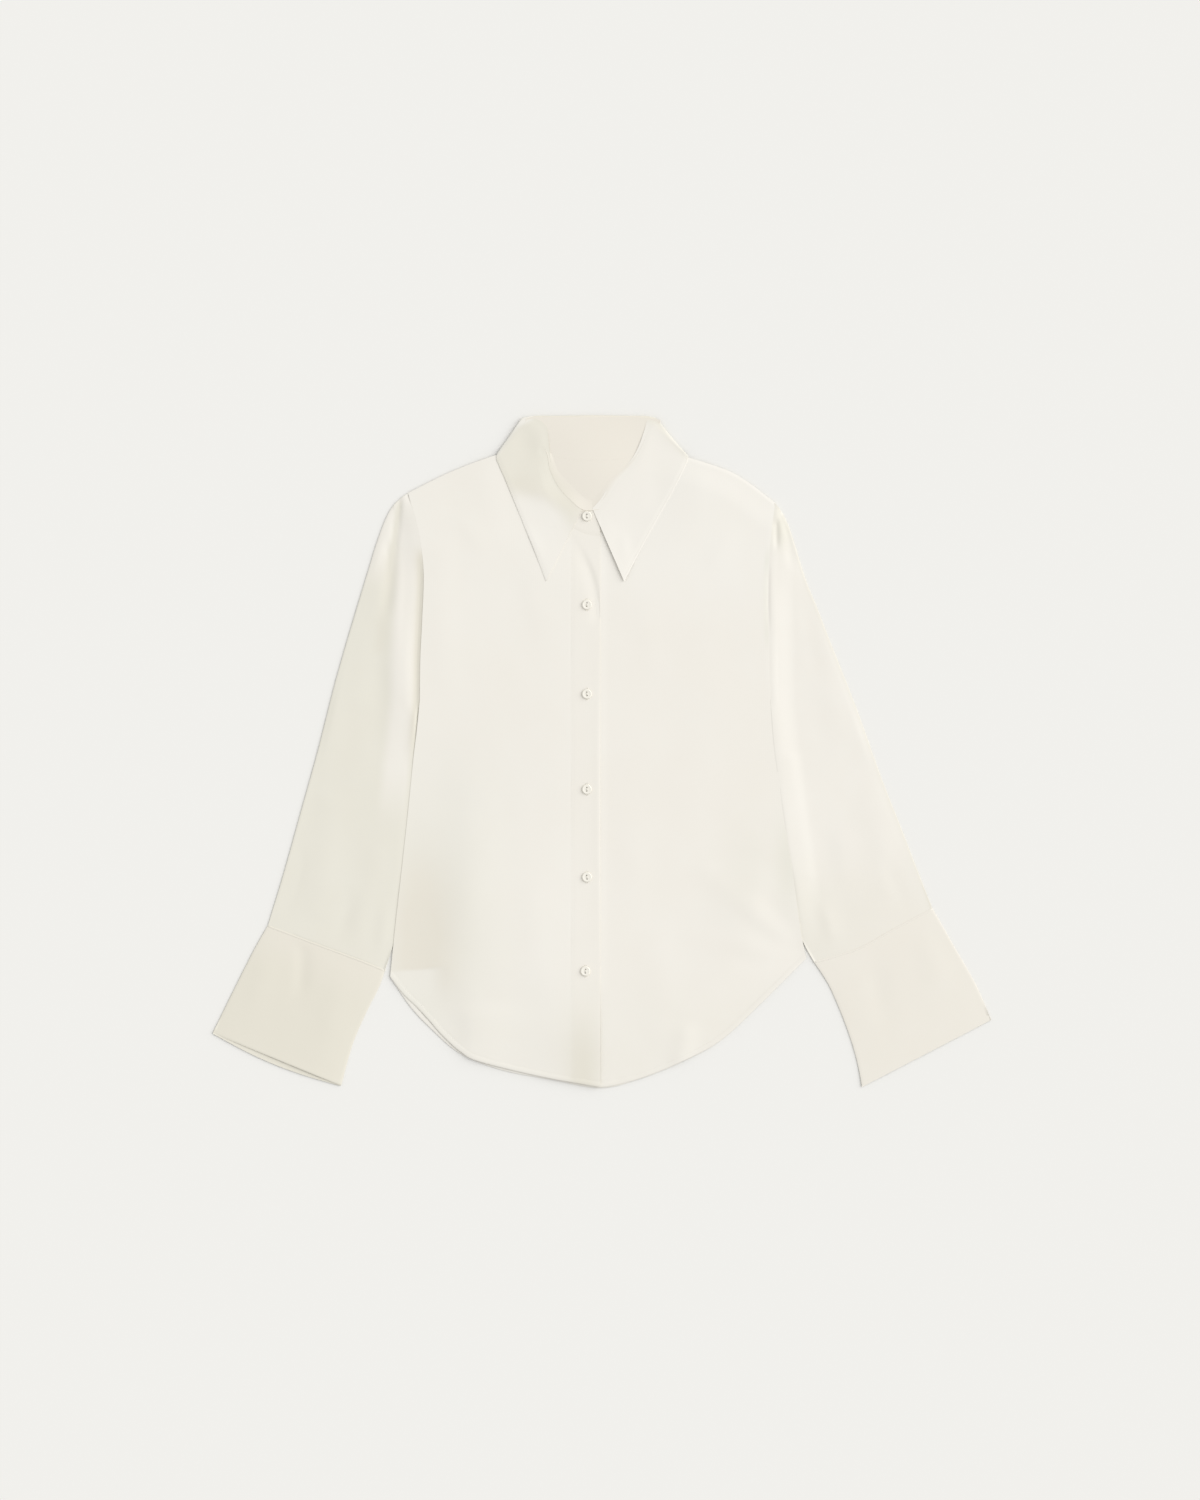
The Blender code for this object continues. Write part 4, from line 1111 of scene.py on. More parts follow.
def make_sleeve(name, armhole, fold, inner, seam, trough, join, lift, form, cuff_form, tone, seed):
    armhole_edge, seam_edge = Edge([armhole]), Edge([seam])
    fold_edge, inner_edge = Edge([[armhole[0]] + fold[1:]]), Edge([inner[:-1] + [seam[-1]]])
    rings = []
    for k in range(SLEEVE_RINGS + 1):
        down = (k / SLEEVE_RINGS) ** RING_CROWDING
        lifted = lift * smooth(down / 0.022) * (1 - CUFF_REST * ramp(down, 0.64, 1.0))
        curl = CURL * smooth(down / 0.06)
        outer, inner_end = fold_edge.at([down])[0], inner_edge.at([down])[0]
        length = np.linalg.norm(outer - inner_end)
        bows = [(armhole_edge, max(0.0, 1 - down / BOWED) ** 2), (seam_edge, smooth(1 - (1 - down) / BOWED))]

        def lower(share):
            return ON_GROUND + lifted * ramp(share, *LIFT_ACROSS) + curl * np.exp(-share * length / 12)

        def upper(share, x, y):
            out, inn = share * length, (1 - share) * length
            creased = crease_height(SLEEVE_CREASES, x, y)
            loose = (fold_height(SLEEVE_FOLDS, x, y) + creased
                     + 0.3 * drift(x, y, 58, seed) + 0.1 * drift(x, y, 22, seed + 4))
            free = form(out, inn, down, *fold_tops(curl, lifted, SLEEVE_RADII), x, y)
            free = free + loose * smooth(out / 10) * smooth(inn / 7)
            body = left_front_top(x, y) + creased - trough(x, y)
            top = body + (free - body) * smooth(distance(x, y, armhole_edge.line) / join)
            cuff = cuff_form(out, inn, *fold_tops(curl, lifted, CUFF_RADII)) - CUFF_OVER
            joined = cuff + (top - cuff) * smooth(distance(x, y, seam_edge.line) / CUFF_JOIN)
            return np.maximum(joined, lower(share) + 2 * SLEEVE_CLOTH + 0.1)

        at = chord(outer, inner_end, bows)
        rings.append(flat_ring(at, length, lower, upper, SLEEVE_RADII, SLEEVE_CLOTH, 0.35))
    into_body = (armhole_edge.at([0.5])[0] - fold_edge.at([0.3])[0]) * (1, 0)
    into_cuff = seam_edge.at([0.5])[0] - (outer + inner_end) / 2 + (0, -1)
    rings.insert(0, tucked_in(rings[0], into_body, 3.0))
    rings.append(tucked_in(rings[-1], into_cuff, 1.5))
    x, y, _ = np.array([outer_loop for outer_loop, _ in rings]).transpose(2, 0, 1)
    return tube(name, rings, *tone(x, y))[0]


sleeve_right = make_sleeve(
    "sleeve_right_silk", RIGHT_ARMHOLE, RIGHT_FOLD, beside(RIGHT_SIDE, -1, UNDER_BODY), RIGHT_CUFF_SEAM,
    right_trough, RIGHT_JOIN, RIGHT_LIFT, right_sleeve_form, right_cuff_form, right_sleeve_tone, 11.3)
sleeve_left = make_sleeve(
    "sleeve_left_silk", LEFT_ARMHOLE, LEFT_FOLD, beside(LEFT_SIDE, 1, UNDER_BODY), LEFT_CUFF_SEAM,
    left_trough, LEFT_JOIN, LEFT_LIFT, left_sleeve_form, left_cuff_form, left_sleeve_tone, 17.9)
declare(sleeve_right, "sleeve_right")
declare(sleeve_left, "sleeve_left")

# %% [markdown]
# ## Cuffs
# Deep cuffs flare towards the hand and are stiff with interfacing. They are the same flat tubes
# as the sleeves, set over their ends, with the seam's ridge and stitches at the top and an open
# mouth. The right one's under layer has slid down and peeks out.

# %% Cuffs
CUFF_RINGS = 64
CUFF_PEEK = 6.0
CUFF_CLOTH = 0.36
CUFF_STITCH = 2.0  # from the sleeve seam
MOUTH_SPRING = 0.7  # how far an open end springs up
cuff_grids = {}


def make_cuff(name, fold, inner, seam, lift, form, peek, painted_shade, seed):
    fold_edge, inner_edge, seam_edge = Edge([fold]), Edge([inner]), Edge([seam])
    depth = along(fold_edge.line)[-1]
    downs = close_steps(0.0, 1.0, CUFF_RINGS, (0.0, 0.4, 1.0, 2.2), depth)
    downs = np.unique(np.concatenate([downs, np.array([0.5, 1.2, 1.7, 2.0, 2.4, 3.0]) / depth]))
    pull = fold_edge.at([1.0])[0] - fold_edge.at([0.8])[0]
    pull /= np.linalg.norm(pull)
    rings = []
    for down in downs:
        outer, inner_end = fold_edge.at([down])[0], inner_edge.at([down])[0]
        length = np.linalg.norm(outer - inner_end)
        lifted = (1 - CUFF_REST) * lift * smooth(1 - down / 0.25)
        mm_down = down * depth
        mouth = MOUTH_SPRING * math.exp(-(depth - mm_down) / 12)

        def lower(share):
            sprung = np.maximum(CURL * np.exp(-share * length / 12), mouth)
            return ON_GROUND + lifted * ramp(share, *LIFT_ACROSS) + sprung

        def upper(share, x, y):
            out, inn = share * length, (1 - share) * length
            loose = (crease_height(CUFF_CREASES, x, y)
                     + 0.2 * drift(x, y, 64, seed) + 0.07 * drift(x, y, 20, seed + 2))
            loose = loose * smooth(mm_down / 14) * smooth(out / 10) * smooth(inn / 10)
            ridge = 0.28 * bell((mm_down - 0.9) / 0.9)
            stitched = -0.1 * bell((mm_down - CUFF_STITCH) / 0.6)
            rounding = -0.3 * ramp(depth - mm_down, 1.1, 0.0)
            edges = fold_tops(CURL, max(lifted, mouth), CUFF_RADII)
            return form(out, inn, *edges) + loose + ridge + stitched + rounding

        at = chord(outer, inner_end, [(seam_edge, (1 - down) ** 2)])
        loops = flat_ring(at, length, lower, upper, CUFF_RADII, CUFF_CLOTH)
        bulge = np.sin(np.pi * (np.arange(LOWER_STEPS) + 0.6) / (LOWER_STEPS + 0.2))
        for loop in loops:
            loop[-LOWER_STEPS:, :2] += pull * (peek * ramp(down, 0.6, 1.0) * bulge)[:, None]
        rings.append(loops)
    # Painted shade over the cuff, lighter near its seam, with a deeper ivory to match.
    turned = painted_shade * (1 - 0.45 * smooth(1 - downs * depth / 50))[:, None] * np.ones(len(rings[0][0]))
    made, grid = tube(name, rings, 0.55 + 0.45 * painted_shade, turned)
    cuff_grids[name] = (grid, downs * depth)
    return made


cuff_right = make_cuff(
    "cuff_right_silk", RIGHT_CUFF_FOLD, RIGHT_CUFF_INNER, RIGHT_CUFF_SEAM, RIGHT_LIFT, right_cuff_form,
    CUFF_PEEK, 1.0, 23.2)
cuff_left = make_cuff(
    "cuff_left_silk", LEFT_CUFF_FOLD, LEFT_CUFF_INNER, LEFT_CUFF_SEAM, LEFT_LIFT, left_cuff_form,
    0.0, 0.2, 29.6)
declare(cuff_right, "cuff_right")
declare(cuff_left, "cuff_left")

# %% [markdown]
# ## Collar
# The collar is two pieces. The stand rises from the neckline, and the leaf turns over it along
# a roll line and lies on the fronts, ending in two long points. Behind the neck the leaf turns
# the other way, under the back. A table gives one row for each place round the neck, because a
# roll line is easier to place one by one than to bend there.

# %% Collar tables
STAND_RIGHT = [
    # along the neckline from the shoulder, roll x, roll y, roll height
    (1.0, -3.0, 256.0, 6.0),
    (5 / 6, -20.0, 256.0, 5.9),
    (4 / 6, -34.0, 267.0, 5.8),
    (3 / 6, -46.5, 281.0, 5.8),
    (2 / 6, -55.5, 299.5, 5.9),
    (1 / 6, -60.0, 320.0, 6.1),
]
STAND_LEFT = [
    (0.03, 50.5, 343.0, 5.2),
    (1 / 6, 44.5, 327.5, 5.2),
    (2 / 6, 33.0, 306.0, 5.2),
    (3 / 6, 16.0, 287.0, 5.4),
    (4 / 6, 3.0, 269.0, 5.2),
    (5 / 6, -12.0, 255.5, 4.2),
    (1.0, -30.0, 254.5, 2.8),
]
STAND_SPREAD = 1.08  # how much wider the roll runs behind the neck than the seam
STAND_BACK_ROLL_Y = 354.2
FOOT = 20.0  # how far the stand's inner layer bellies into the neck
LEAF_GAP = 0.08
FLATTER, FLAT_FROM = 0.16, 2.8  # the rolls keep this share of the tables' heights over this one
LEAF = [
    # roll x, roll y, roll height, edge x, edge y, edge height over what it lies on, back part
    (-22.0, 255.0, 9.2, -59.5, 180.0, 0.0, 0.0),
    (-28.5, 260.5, 9.4, -66.0, 197.5, 0.0, 0.0),
    (-36.5, 268.5, 9.4, -73.5, 217.0, 0.0, 0.0),
    (-44.0, 277.0, 9.4, -81.0, 235.0, 0.0, 0.0),
    (-50.5, 286.5, 9.4, -88.5, 253.5, 0.0, 0.0),
    (-54.5, 300.0, 9.5, -96.5, 273.0, 0.0, 0.0),
    (-57.5, 322.0, 9.6, -103.5, 290.0, 0.0, 0.0),
    (-60.5, 343.5, 9.6, -109.5, 303.5, 0.1, 0.0),
    (-73.0, 351.5, 9.0, -112.0, 312.0, 0.1, 0.0),
    (-85.5, 352.0, 6.0, -107.0, 320.5, 0.0, 0.5),
    (-74.0, 354.5, 5.4, -99.0, 319.5, 0.0, 1.0),
    (-54.0, 355.0, 5.4, -80.0, 303.0, 0.0, 1.0),
    (-32.0, 355.2, 5.4, -45.0, 299.0, 0.0, 1.0),
    (-9.5, 355.5, 5.4, -9.5, 298.0, 0.0, 1.0),
    (14.0, 355.2, 5.4, 26.0, 299.0, 0.0, 1.0),
    (34.0, 355.0, 5.4, 60.0, 303.0, 0.0, 1.0),
    (48.0, 354.5, 5.4, 75.0, 319.5, 0.0, 1.0),
    (58.5, 352.0, 6.0, 83.0, 320.0, 0.0, 0.5),
    (50.0, 350.5, 9.0, 91.0, 312.5, 0.1, 0.0),
    (46.5, 340.0, 8.7, 88.5, 302.0, 0.1, 0.0),
    (40.0, 322.0, 8.8, 80.0, 285.0, 0.0, 0.0),
    (31.0, 306.0, 8.9, 70.5, 267.0, 0.0, 0.0),
    (14.5, 288.5, 9.0, 59.0, 246.5, 0.0, 0.0),
    (6.0, 275.5, 9.2, 47.5, 225.5, 0.0, 0.0),
    (-1.5, 264.5, 9.5, 35.5, 203.0, 0.5, 0.0),
    (-9.5, 256.0, 9.8, 23.5, 180.0, 1.7, 0.0),
]
LEAF_ACROSS = [
    # share, front out, front rise, back out, back rise
    (0.00, 1.8, 1.00, -2.0, 1.00),
    (0.02, 1.2, 1.00, 1.6, 0.62),
    (0.05, 0.5, 1.00, 1.2, 0.16),
    (0.14, 0.0, 0.92, 0.0, 0.0),
    (0.30, 0.0, 0.66, 0.0, 0.0),
    (0.50, 0.0, 0.28, 0.0, 0.0),
    (0.75, 0.0, 0.06, 0.0, 0.0),
    (1.00, 0.0, 0.00, 0.0, 0.0),
]
COLLAR_CLOTH = 0.7
LEAF_DIP = np.array([(-89.0, 283.0), (-58.0, 274.0), (-24.0, 256.0)])  # painted shade along a shallow dip across the right leaf
LEFT_RIM = np.array([(50.0, 353.0), (60.0, 349.0), (92.0, 314.0)])  # painted shade where the leaf turns under the back
# Painted light along the leaf's fold at its right rim.
RIGHT_RIM = np.array([(-76.0, 354.0), (-92.0, 345.0), (-114.0, 314.0)])
LEAF_ROWS, STAND_ROWS, STAND_STEPS = 230, 210, 20
print("leaf rows", len(LEAF))

# %% [markdown]
# ## The collar's surfaces
# Smooth curves through the tables' rows fill in the surface, and its two faces lie on either
# side of it along its normals, because a wall measured straight up would vanish at the roll.


# %% Smooth surfaces
def flattened(high):
    return FLAT_FROM + (high - FLAT_FROM) * FLATTER


def spread(rows, count):
    """Rows filled in along a smooth curve, evenly by their number."""
    fine = through(rows, 24)
    steps = np.linspace(0, len(fine) - 1, count)
    return np.stack([np.interp(steps, np.arange(len(fine)), fine[:, k]) for k in range(fine.shape[1])], -1)


def half_wall(middle, wall):
    """From a sheet's middle to its outer face."""
    normal = np.cross(np.gradient(middle, axis=0), np.gradient(middle, axis=1))
    normal = normal / np.maximum(np.linalg.norm(normal, axis=2, keepdims=True), 1e-9)
    return normal * np.broadcast_to(wall, middle.shape[:2])[..., None] / 2


def both_faces(name, middle, wall, layered_and_shaded, painted_shade):
    """A sheet with its two faces on either side of a grid of middle points."""
    half = half_wall(middle, wall)
    across = measured(middle)
    down = along(middle[:, middle.shape[1] // 2])
    cloth = np.dstack([across, np.broadcast_to(down[:, None], across.shape)])
    return shell(name, middle + half, middle - half, cloth, layered_and_shaded, painted_shade)


print("lowest roll", round(min(flattened(row[2]) for row in LEAF), 2), "mm up")

# %% [markdown]
# ## The leaf
# In front the leaf falls from the roll onto the fronts, and behind the neck it turns down under
# the back, so each row of its table blends a front shape with a back shape. It gets thin at the
# roll and at its edge, where a thick wall would cast a shadow that silk doesn't.


# %% Turn the leaf over
def leaf_tone(x, y, shares, turned):
    """Painted shade up the right side, near the roll, along the dip, at the left rim and where the leaf turns
    under; painted light on the right rim.
    """
    painted_shade = 0.95 * ramp(x, -30, -64) * ramp(y, 262, 292) * (1 - turned) + 0.6 * turned
    roll_shade = 0.85 * smooth(1.2 - shares / 0.35) * ramp(x, -14, -34)
    painted_shade = painted_shade + (1 - painted_shade) * np.maximum(roll_shade, 0.8 * bell(distance(x, y, LEFT_RIM) / 5))
    dip_shade = bell(distance(x, y, LEAF_DIP) / 9) * (1 - turned)
    painted_shade = painted_shade + (1 - painted_shade) * 0.4 * dip_shade
    off_rim_painted_light = 1 - 0.9 * bell(distance(x, y, RIGHT_RIM) / 3.2)
    painted_shade = painted_shade * off_rim_painted_light
    return (0.15 + 0.85 * np.maximum(turned, 0.65 * painted_shade + 0.3 * dip_shade)) * off_rim_painted_light, painted_shade


def make_leaf():
    """The leaf, its outer face, and the shares of its width at which that face has its columns."""
    shares = np.unique(np.concatenate([
        np.linspace(0, 0.06, 12), np.linspace(0.06, 0.97, 44), [0.982, 0.99, 0.996, 1.0]]))
    rows = spread(LEAF, LEAF_ROWS)[:, None]
    roll, edge = rows[..., 0:2], rows[..., 3:5]
    high, over, back_part = rows[..., 2], rows[..., 5], np.clip(rows[..., 6], 0, 1)
    front_part, turned = 1 - back_part, np.clip(2 * back_part - 1, 0, 1)
    table = through(LEAF_ACROSS)
    front_out, front_rise, back_out, back_rise = (
        np.interp(shares, table[:, 0], table[:, column]) for column in (1, 2, 3, 4))
    out = (roll - edge) / np.linalg.norm(roll - edge, axis=2, keepdims=True)
    push = front_out * front_part + back_out * back_part
    place = roll + (edge - roll) * shares[None, :, None] + out * push[..., None]
    x, y = place[..., 0], place[..., 1]
    on_fronts = fronts_top(x, y) + LEAF_GAP + COLLAR_CLOTH / 2 + over
    base = on_fronts * front_part + (LOWEST + COLLAR_CLOTH / 2) * back_part
    z = base + (flattened(high) - base) * (front_rise * (1 - turned) + back_rise * turned)
    loose = crease_height(LEAF_CREASES, x, y) + 0.2 * drift(x, y, 34, 6.6)
    thin_edge = 0.25 * ramp(shares, 0.988, 1.0) + 0.12 * ramp(x, 30, 60) * ramp(shares, 0.9, 1.0)
    z = z + (loose * smooth(shares / 0.3) - thin_edge) * front_part
    thinned = 0.75 * ramp(shares, 0.9, 1.0) + 0.6 * ramp(shares, 0.13, 0.0)
    wall = COLLAR_CLOTH * (1 - thinned * front_part)
    middle = np.dstack([x, y, z])
    leaf = both_faces("collar_silk", middle, wall, *leaf_tone(x, y, shares, turned))
    return leaf, middle + half_wall(middle, wall), shares


collar, leaf_face, leaf_shares = make_leaf()
declare(collar, "collar")

# %% [markdown]
# ## The stand
# The band is two layers that meet along the roll. One comes up from the neck seam, and the other
# goes down inside the neck and bellies over the back. They are made apart, because each lies on
# a piece of its own, and are then joined as one.


# %% Raise the stand
def stand_lines():
    """Points along the seam, the roll and the foot inside the neck, from the right round to the left."""
    middle = np.array(NECK_MIDDLE)
    seam, roll, foot = [], [], []

    def resting(face, x, y):
        return x, y, height_at(face, x, y) - 0.1

    def add_side(table, neck, face):
        for t, x, y, high in table:
            at = Edge([neck]).at([t])[0]
            away = at - middle
            seam.append(resting(face, *(at + away / np.linalg.norm(away) * 1.5)))
            roll.append((x, y, flattened(high) + 0.55))
            belly = min(0.45, (0.3 + 0.7 * ramp(t, 0.1, 0.6)) * FOOT / math.dist((x, y), middle))
            foot.append(resting(back_face, x + (middle[0] - x) * belly, y + (middle[1] - y) * belly))

    add_side(STAND_RIGHT, RIGHT_NECK, right_front_top)
    for k in range(7):
        x, y = Edge([BACK_NECK]).at([k / 6])[0]
        seam.append((x, y + 0.4, 1.6))
        roll_y = STAND_BACK_ROLL_Y - 3.5 * (k in (0, 6))
        roll.append((middle[0] + (x - middle[0]) * STAND_SPREAD, roll_y, 3.7))
        foot.append(resting(back_face, x, y - 3.0))
    add_side(STAND_LEFT, LEFT_NECK, left_front_top)
    return seam, roll, foot


def stand_layer(low, high, feather, ease):
    """Points and walls of a sheet between two lines, thin along the first; ease over 1 makes it rise late."""
    low, high = spread(low, STAND_ROWS)[:, None], spread(high, STAND_ROWS)[:, None]
    steps = np.linspace(0, 1, STAND_STEPS)
    shares = np.stack([steps, steps, steps ** ease], -1)[None]
    wall = COLLAR_CLOTH * (0.12 + 0.88 * smooth(steps / feather))
    return low * (1 - shares) + high * shares, np.broadcast_to(wall, (STAND_ROWS, STAND_STEPS))


def make_stand():
    seam, roll, foot = stand_lines()
    lower = [(x, y, z - 0.7) for x, y, z in roll]
    # The seam layer is painted half deep, for its layers and for painted shade.
    seam_layer = both_faces("stand_seam_layer", *stand_layer(seam, lower, 0.2, 1.5), 0.5, 0.1)
    inner, wall = stand_layer(foot, roll, 1.0, 1.0)
    share = np.linspace(0, 1, STAND_STEPS)
    bed = back_face(inner[..., 0], inner[..., 1])
    inner[..., 2] = bed - 0.1 * (1 - share) + (inner[:, -1, 2] - bed[:, -1])[:, None] * share ** 1.7
    x, y = inner[:, -1:, 0], inner[:, -1:, 1]
    # Painted shade inside the neck: the neck layer is deep all over, with painted shade on its right part and
    # less depth towards the left leaf, where it meets that leaf's tone.
    in_front = ramp(y, 346, 336)
    away = ramp(x, -18, -42) * in_front * share
    towards = ramp(x, -6, 10) * in_front * share ** 2
    return seam_layer, both_faces("stand_neck_layer", inner, wall, 1.0 - 0.8 * towards, 0.1 + 0.75 * away)


stand, neck_layer = make_stand()
with bpy.context.temp_override(active_object=stand, selected_editable_objects=[stand, neck_layer]):
    bpy.ops.object.join()
stand.name = "collar_stand_silk"
declare(stand, "collar_stand")

# %% [markdown]
# ## Ground
# A plain pale floor, a hair below the cloth. One large face reaches past every view of it.

# %% Lay the ground
GROUND_COLOUR = (0.812, 0.804, 0.775)
GROUND_REACH, GROUND_DEPTH = 20.0, 0.0002  # metres

ground_material, _, _ = new_material("pale_ground", GROUND_COLOUR, Roughness=0.9, Specular_IOR_Level=0.0)
mesh = bpy.data.meshes.new("ground")
mesh.from_pydata(
    [(a * GROUND_REACH, b * GROUND_REACH, -GROUND_DEPTH) for a, b in ((-1, -1), (1, -1), (1, 1), (-1, 1))],
    [], [(0, 1, 2, 3)])
mesh.materials.append(ground_material)
place_object("ground", mesh)
print("ground", 2 * GROUND_REACH, "m wide")

# %% [markdown]
# ## Buttons
# Small two-hole shirt buttons, with a raised rim and a dished middle. They are turned from a
# profile, as on a lathe, which shapes the rim better than a bevelled cylinder would, and a
# boolean bores the holes.

# %% Turn a button
BUTTON_PROFILE = [
    # radius, height over the cloth
    (0.0, 0.0), (4.3, 0.0), (4.9, 0.25), (5.18, 0.7), (5.22, 1.0), (5.05, 1.5), (4.75, 1.8), (4.35, 1.92),
    (3.95, 1.88), (3.5, 1.76), (3.0, 1.68), (2.4, 1.64), (1.4, 1.62), (0.0, 1.62),
]
AROUND = 48
HOLE_RADIUS, HOLE_SIDES, HOLE_PITCH = 0.85, 16, 3.4
BUTTONS = [
    # node, x, y, turned about X in degrees, turned about Z
    ("button_1", -16.0, 249.4, 4.0, 3.0),
    ("button_2", -16.0, 155.5, 0.0, -4.0),
    ("button_3", -16.0, 61.0, 0.0, 5.0),
    ("button_4", -16.0, -40.0, 0.0, -2.0),
    ("button_5", -16.0, -133.0, 0.0, 6.0),
    ("button_6", -17.5, -232.5, 0.0, -5.0),
]


def turned_form(profile, sides):
    """A closed solid turned from radii and heights that start and end on the axis."""
    form = bmesh.new()
    rings = []
    for radius, height in profile:
        if radius:
            turns = [2 * math.pi * k / sides for k in range(sides)]
            rings.append([form.verts.new((radius * math.cos(a), radius * math.sin(a), height))
                          for a in turns])
        else:
            rings.append([form.verts.new((0, 0, height))])
    for low, high in zip(rings, rings[1:]):
        for k in range(sides):
            ahead = k + 1
            corners = (low[k % len(low)], low[ahead % len(low)], high[ahead % len(high)], high[k % len(high)])
            form.faces.new(dict.fromkeys(corners))
    bmesh.ops.recalc_face_normals(form, faces=form.faces)
    return form


def as_object(name, form):
    mesh = bpy.data.meshes.new(name)
    form.to_mesh(mesh)
    form.free()
    return place_object(name, mesh)


def evaluated_mesh(piece):
    """The plain mesh that a piece's modifiers make."""
    return bpy.data.meshes.new_from_object(piece.evaluated_get(bpy.context.evaluated_depsgraph_get()))


blank = as_object("button_blank", turned_form(BUTTON_PROFILE, AROUND))
drill = as_object("drill", turned_form([(0, -1), (HOLE_RADIUS, -1), (HOLE_RADIUS, 4), (0, 4)], HOLE_SIDES))
for side in (-1, 1):
    drill.location.y = side * HOLE_PITCH / 2
    bored = blank.modifiers.new("bored", "BOOLEAN")
    bored.operation, bored.solver, bored.object = "DIFFERENCE", "EXACT", drill
    bpy.context.view_layer.update()
    solid = evaluated_mesh(blank)
    blank.modifiers.remove(bored)
    blank.data = solid
button_mesh = blank.data
bpy.data.objects.remove(blank)
bpy.data.objects.remove(drill)
print("button", len(button_mesh.polygons), "faces")

# %% [markdown]
# ## Mother-of-pearl and thread
# Shell is cut through many fine layers, so its ivory changes in bands under a clear shine. Noise
# on Object coordinates gives each button its own part of that pattern. The thread is duller, and
# a much finer noise stands for its fibres.


# %% Make mother-of-pearl
def clouded(name, colour, pattern, light, dark, roughness, **shader_values):
    """A material clouded between two tints by a noise; roughness is how far it varies and its least."""
    made, shader, w = new_material(name, colour, **shader_values)
    clouds = w.add("ShaderNodeTexNoise", Vector=w.add("ShaderNodeTexCoord", out="Object"), **pattern)
    tint = w.add("ShaderNodeMix", {"data_type": "RGBA"}, out=2,
                 in_0=clouds, in_6=(*light, 1), in_7=(*dark, 1))
    plug(tint, shader, "Base Color")
    plug(clouds * roughness[0] + roughness[1], shader, "Roughness")
    return made


PEARL = clouded(
    "pearl", (0.84, 0.81, 0.73), {"Scale": 900.0, "Detail": 3.0, "Distortion": 1.6},
    (0.89, 0.865, 0.79), (0.79, 0.75, 0.66), (0.25, 0.12),
    Roughness=0.3, Coat_Weight=0.3, Coat_Roughness=0.08, Specular_IOR_Level=0.5)
THREAD = clouded(
    "ivory_thread", (0.80, 0.775, 0.70), {"Scale": 4000.0, "Detail": 1.0},
    (0.83, 0.805, 0.74), (0.76, 0.73, 0.65), (0.3, 0.3), Roughness=0.42, Sheen_Weight=0.2)
print("nodes in the pearl and the thread", [len(m.node_tree.nodes) for m in (PEARL, THREAD)])

# %% [markdown]
# ## Sewing on
# Each button stands on the placket, turned a little its own way, as hand-closed buttons are.
# Three strands of thread cross from hole to hole. They could be curves with a bevel, but built
# straight into one mesh they need no conversion.

# %% Sew the buttons on
SEWN_AT = 0.08  # of a button over the cloth
BAND_LIFT = 0.55  # how much higher the band lies than the front under the top button
STRANDS = (-0.43, 0.0, 0.43)
STRAND_ARCH = [
    # along the holes' line, height
    (-1.55, 0.5), (-1.45, 1.35), (-1.15, 1.74), (0.0, 1.86), (1.15, 1.74), (1.45, 1.35), (1.55, 0.5),
]
STRAND_RADIUS = 0.21


def strand(form, points, radius, sides=6):
    """A thread through the given points, with a closed end at either side."""
    rings = []
    for k, point in enumerate(points):
        ahead = points[min(k + 1, len(points) - 1)] - points[max(k - 1, 0)]
        turn = ahead.to_track_quat("Z", "Y").to_matrix()
        rings.append([form.verts.new(point + turn @ Vector((radius * math.cos(a), radius * math.sin(a), 0)))
                      for a in (2 * math.pi * j / sides for j in range(sides))])
    for low, high in zip(rings, rings[1:]):
        for j in range(sides):
            form.faces.new((low[j], low[(j + 1) % sides], high[(j + 1) % sides], high[j]))
    form.faces.new(rings[0][::-1])
    form.faces.new(rings[-1])


button_places = []
threads = bmesh.new()
for node, x, y, tip, turn in BUTTONS:
    cloth_at = height_at(right_front_top, x, y) + (BAND_LIFT if node == "button_1" else 0.0)
    move = Matrix.Translation((x, y, cloth_at + SEWN_AT))
    move = move @ Matrix.Rotation(math.radians(tip), 4, "X") @ Matrix.Rotation(math.radians(turn), 4, "Z")
    button_places.append((x, y, cloth_at))
    mesh = button_mesh.copy()
    mesh.transform(Matrix.Scale(MM, 4) @ move)
    mesh.materials.append(PEARL)
    mesh.shade_smooth()
    mesh.set_sharp_from_angle(angle=math.radians(40))
    button = place_object(node + "_pearl", mesh)
    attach(button, "root")
    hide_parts(node)
    for beside_middle in STRANDS:
        arch = [move @ Vector((beside_middle, reach, rise)) for reach, rise in STRAND_ARCH]
        strand(threads, arch, STRAND_RADIUS)
bmesh.ops.scale(threads, vec=(MM, MM, MM), verts=threads.verts)
button_threads = as_object("button_threads", threads)
button_threads.data.materials.append(THREAD)
button_threads.data.shade_smooth()
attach(button_threads, "root")
print("buttons at", [[round(v, 1) for v in place] for place in button_places])

# %% [markdown]
# ## Stitches
# A stitch is a small bead of thread, sunk halfway into the cloth. Thousands of them by hand would
# be slow to move, so one Geometry Nodes tree sets them along any path: it resamples the path by
# the stitch length, puts a bead at each point and turns it along the path or across it. Across
# it, and set close, they edge a buttonhole.


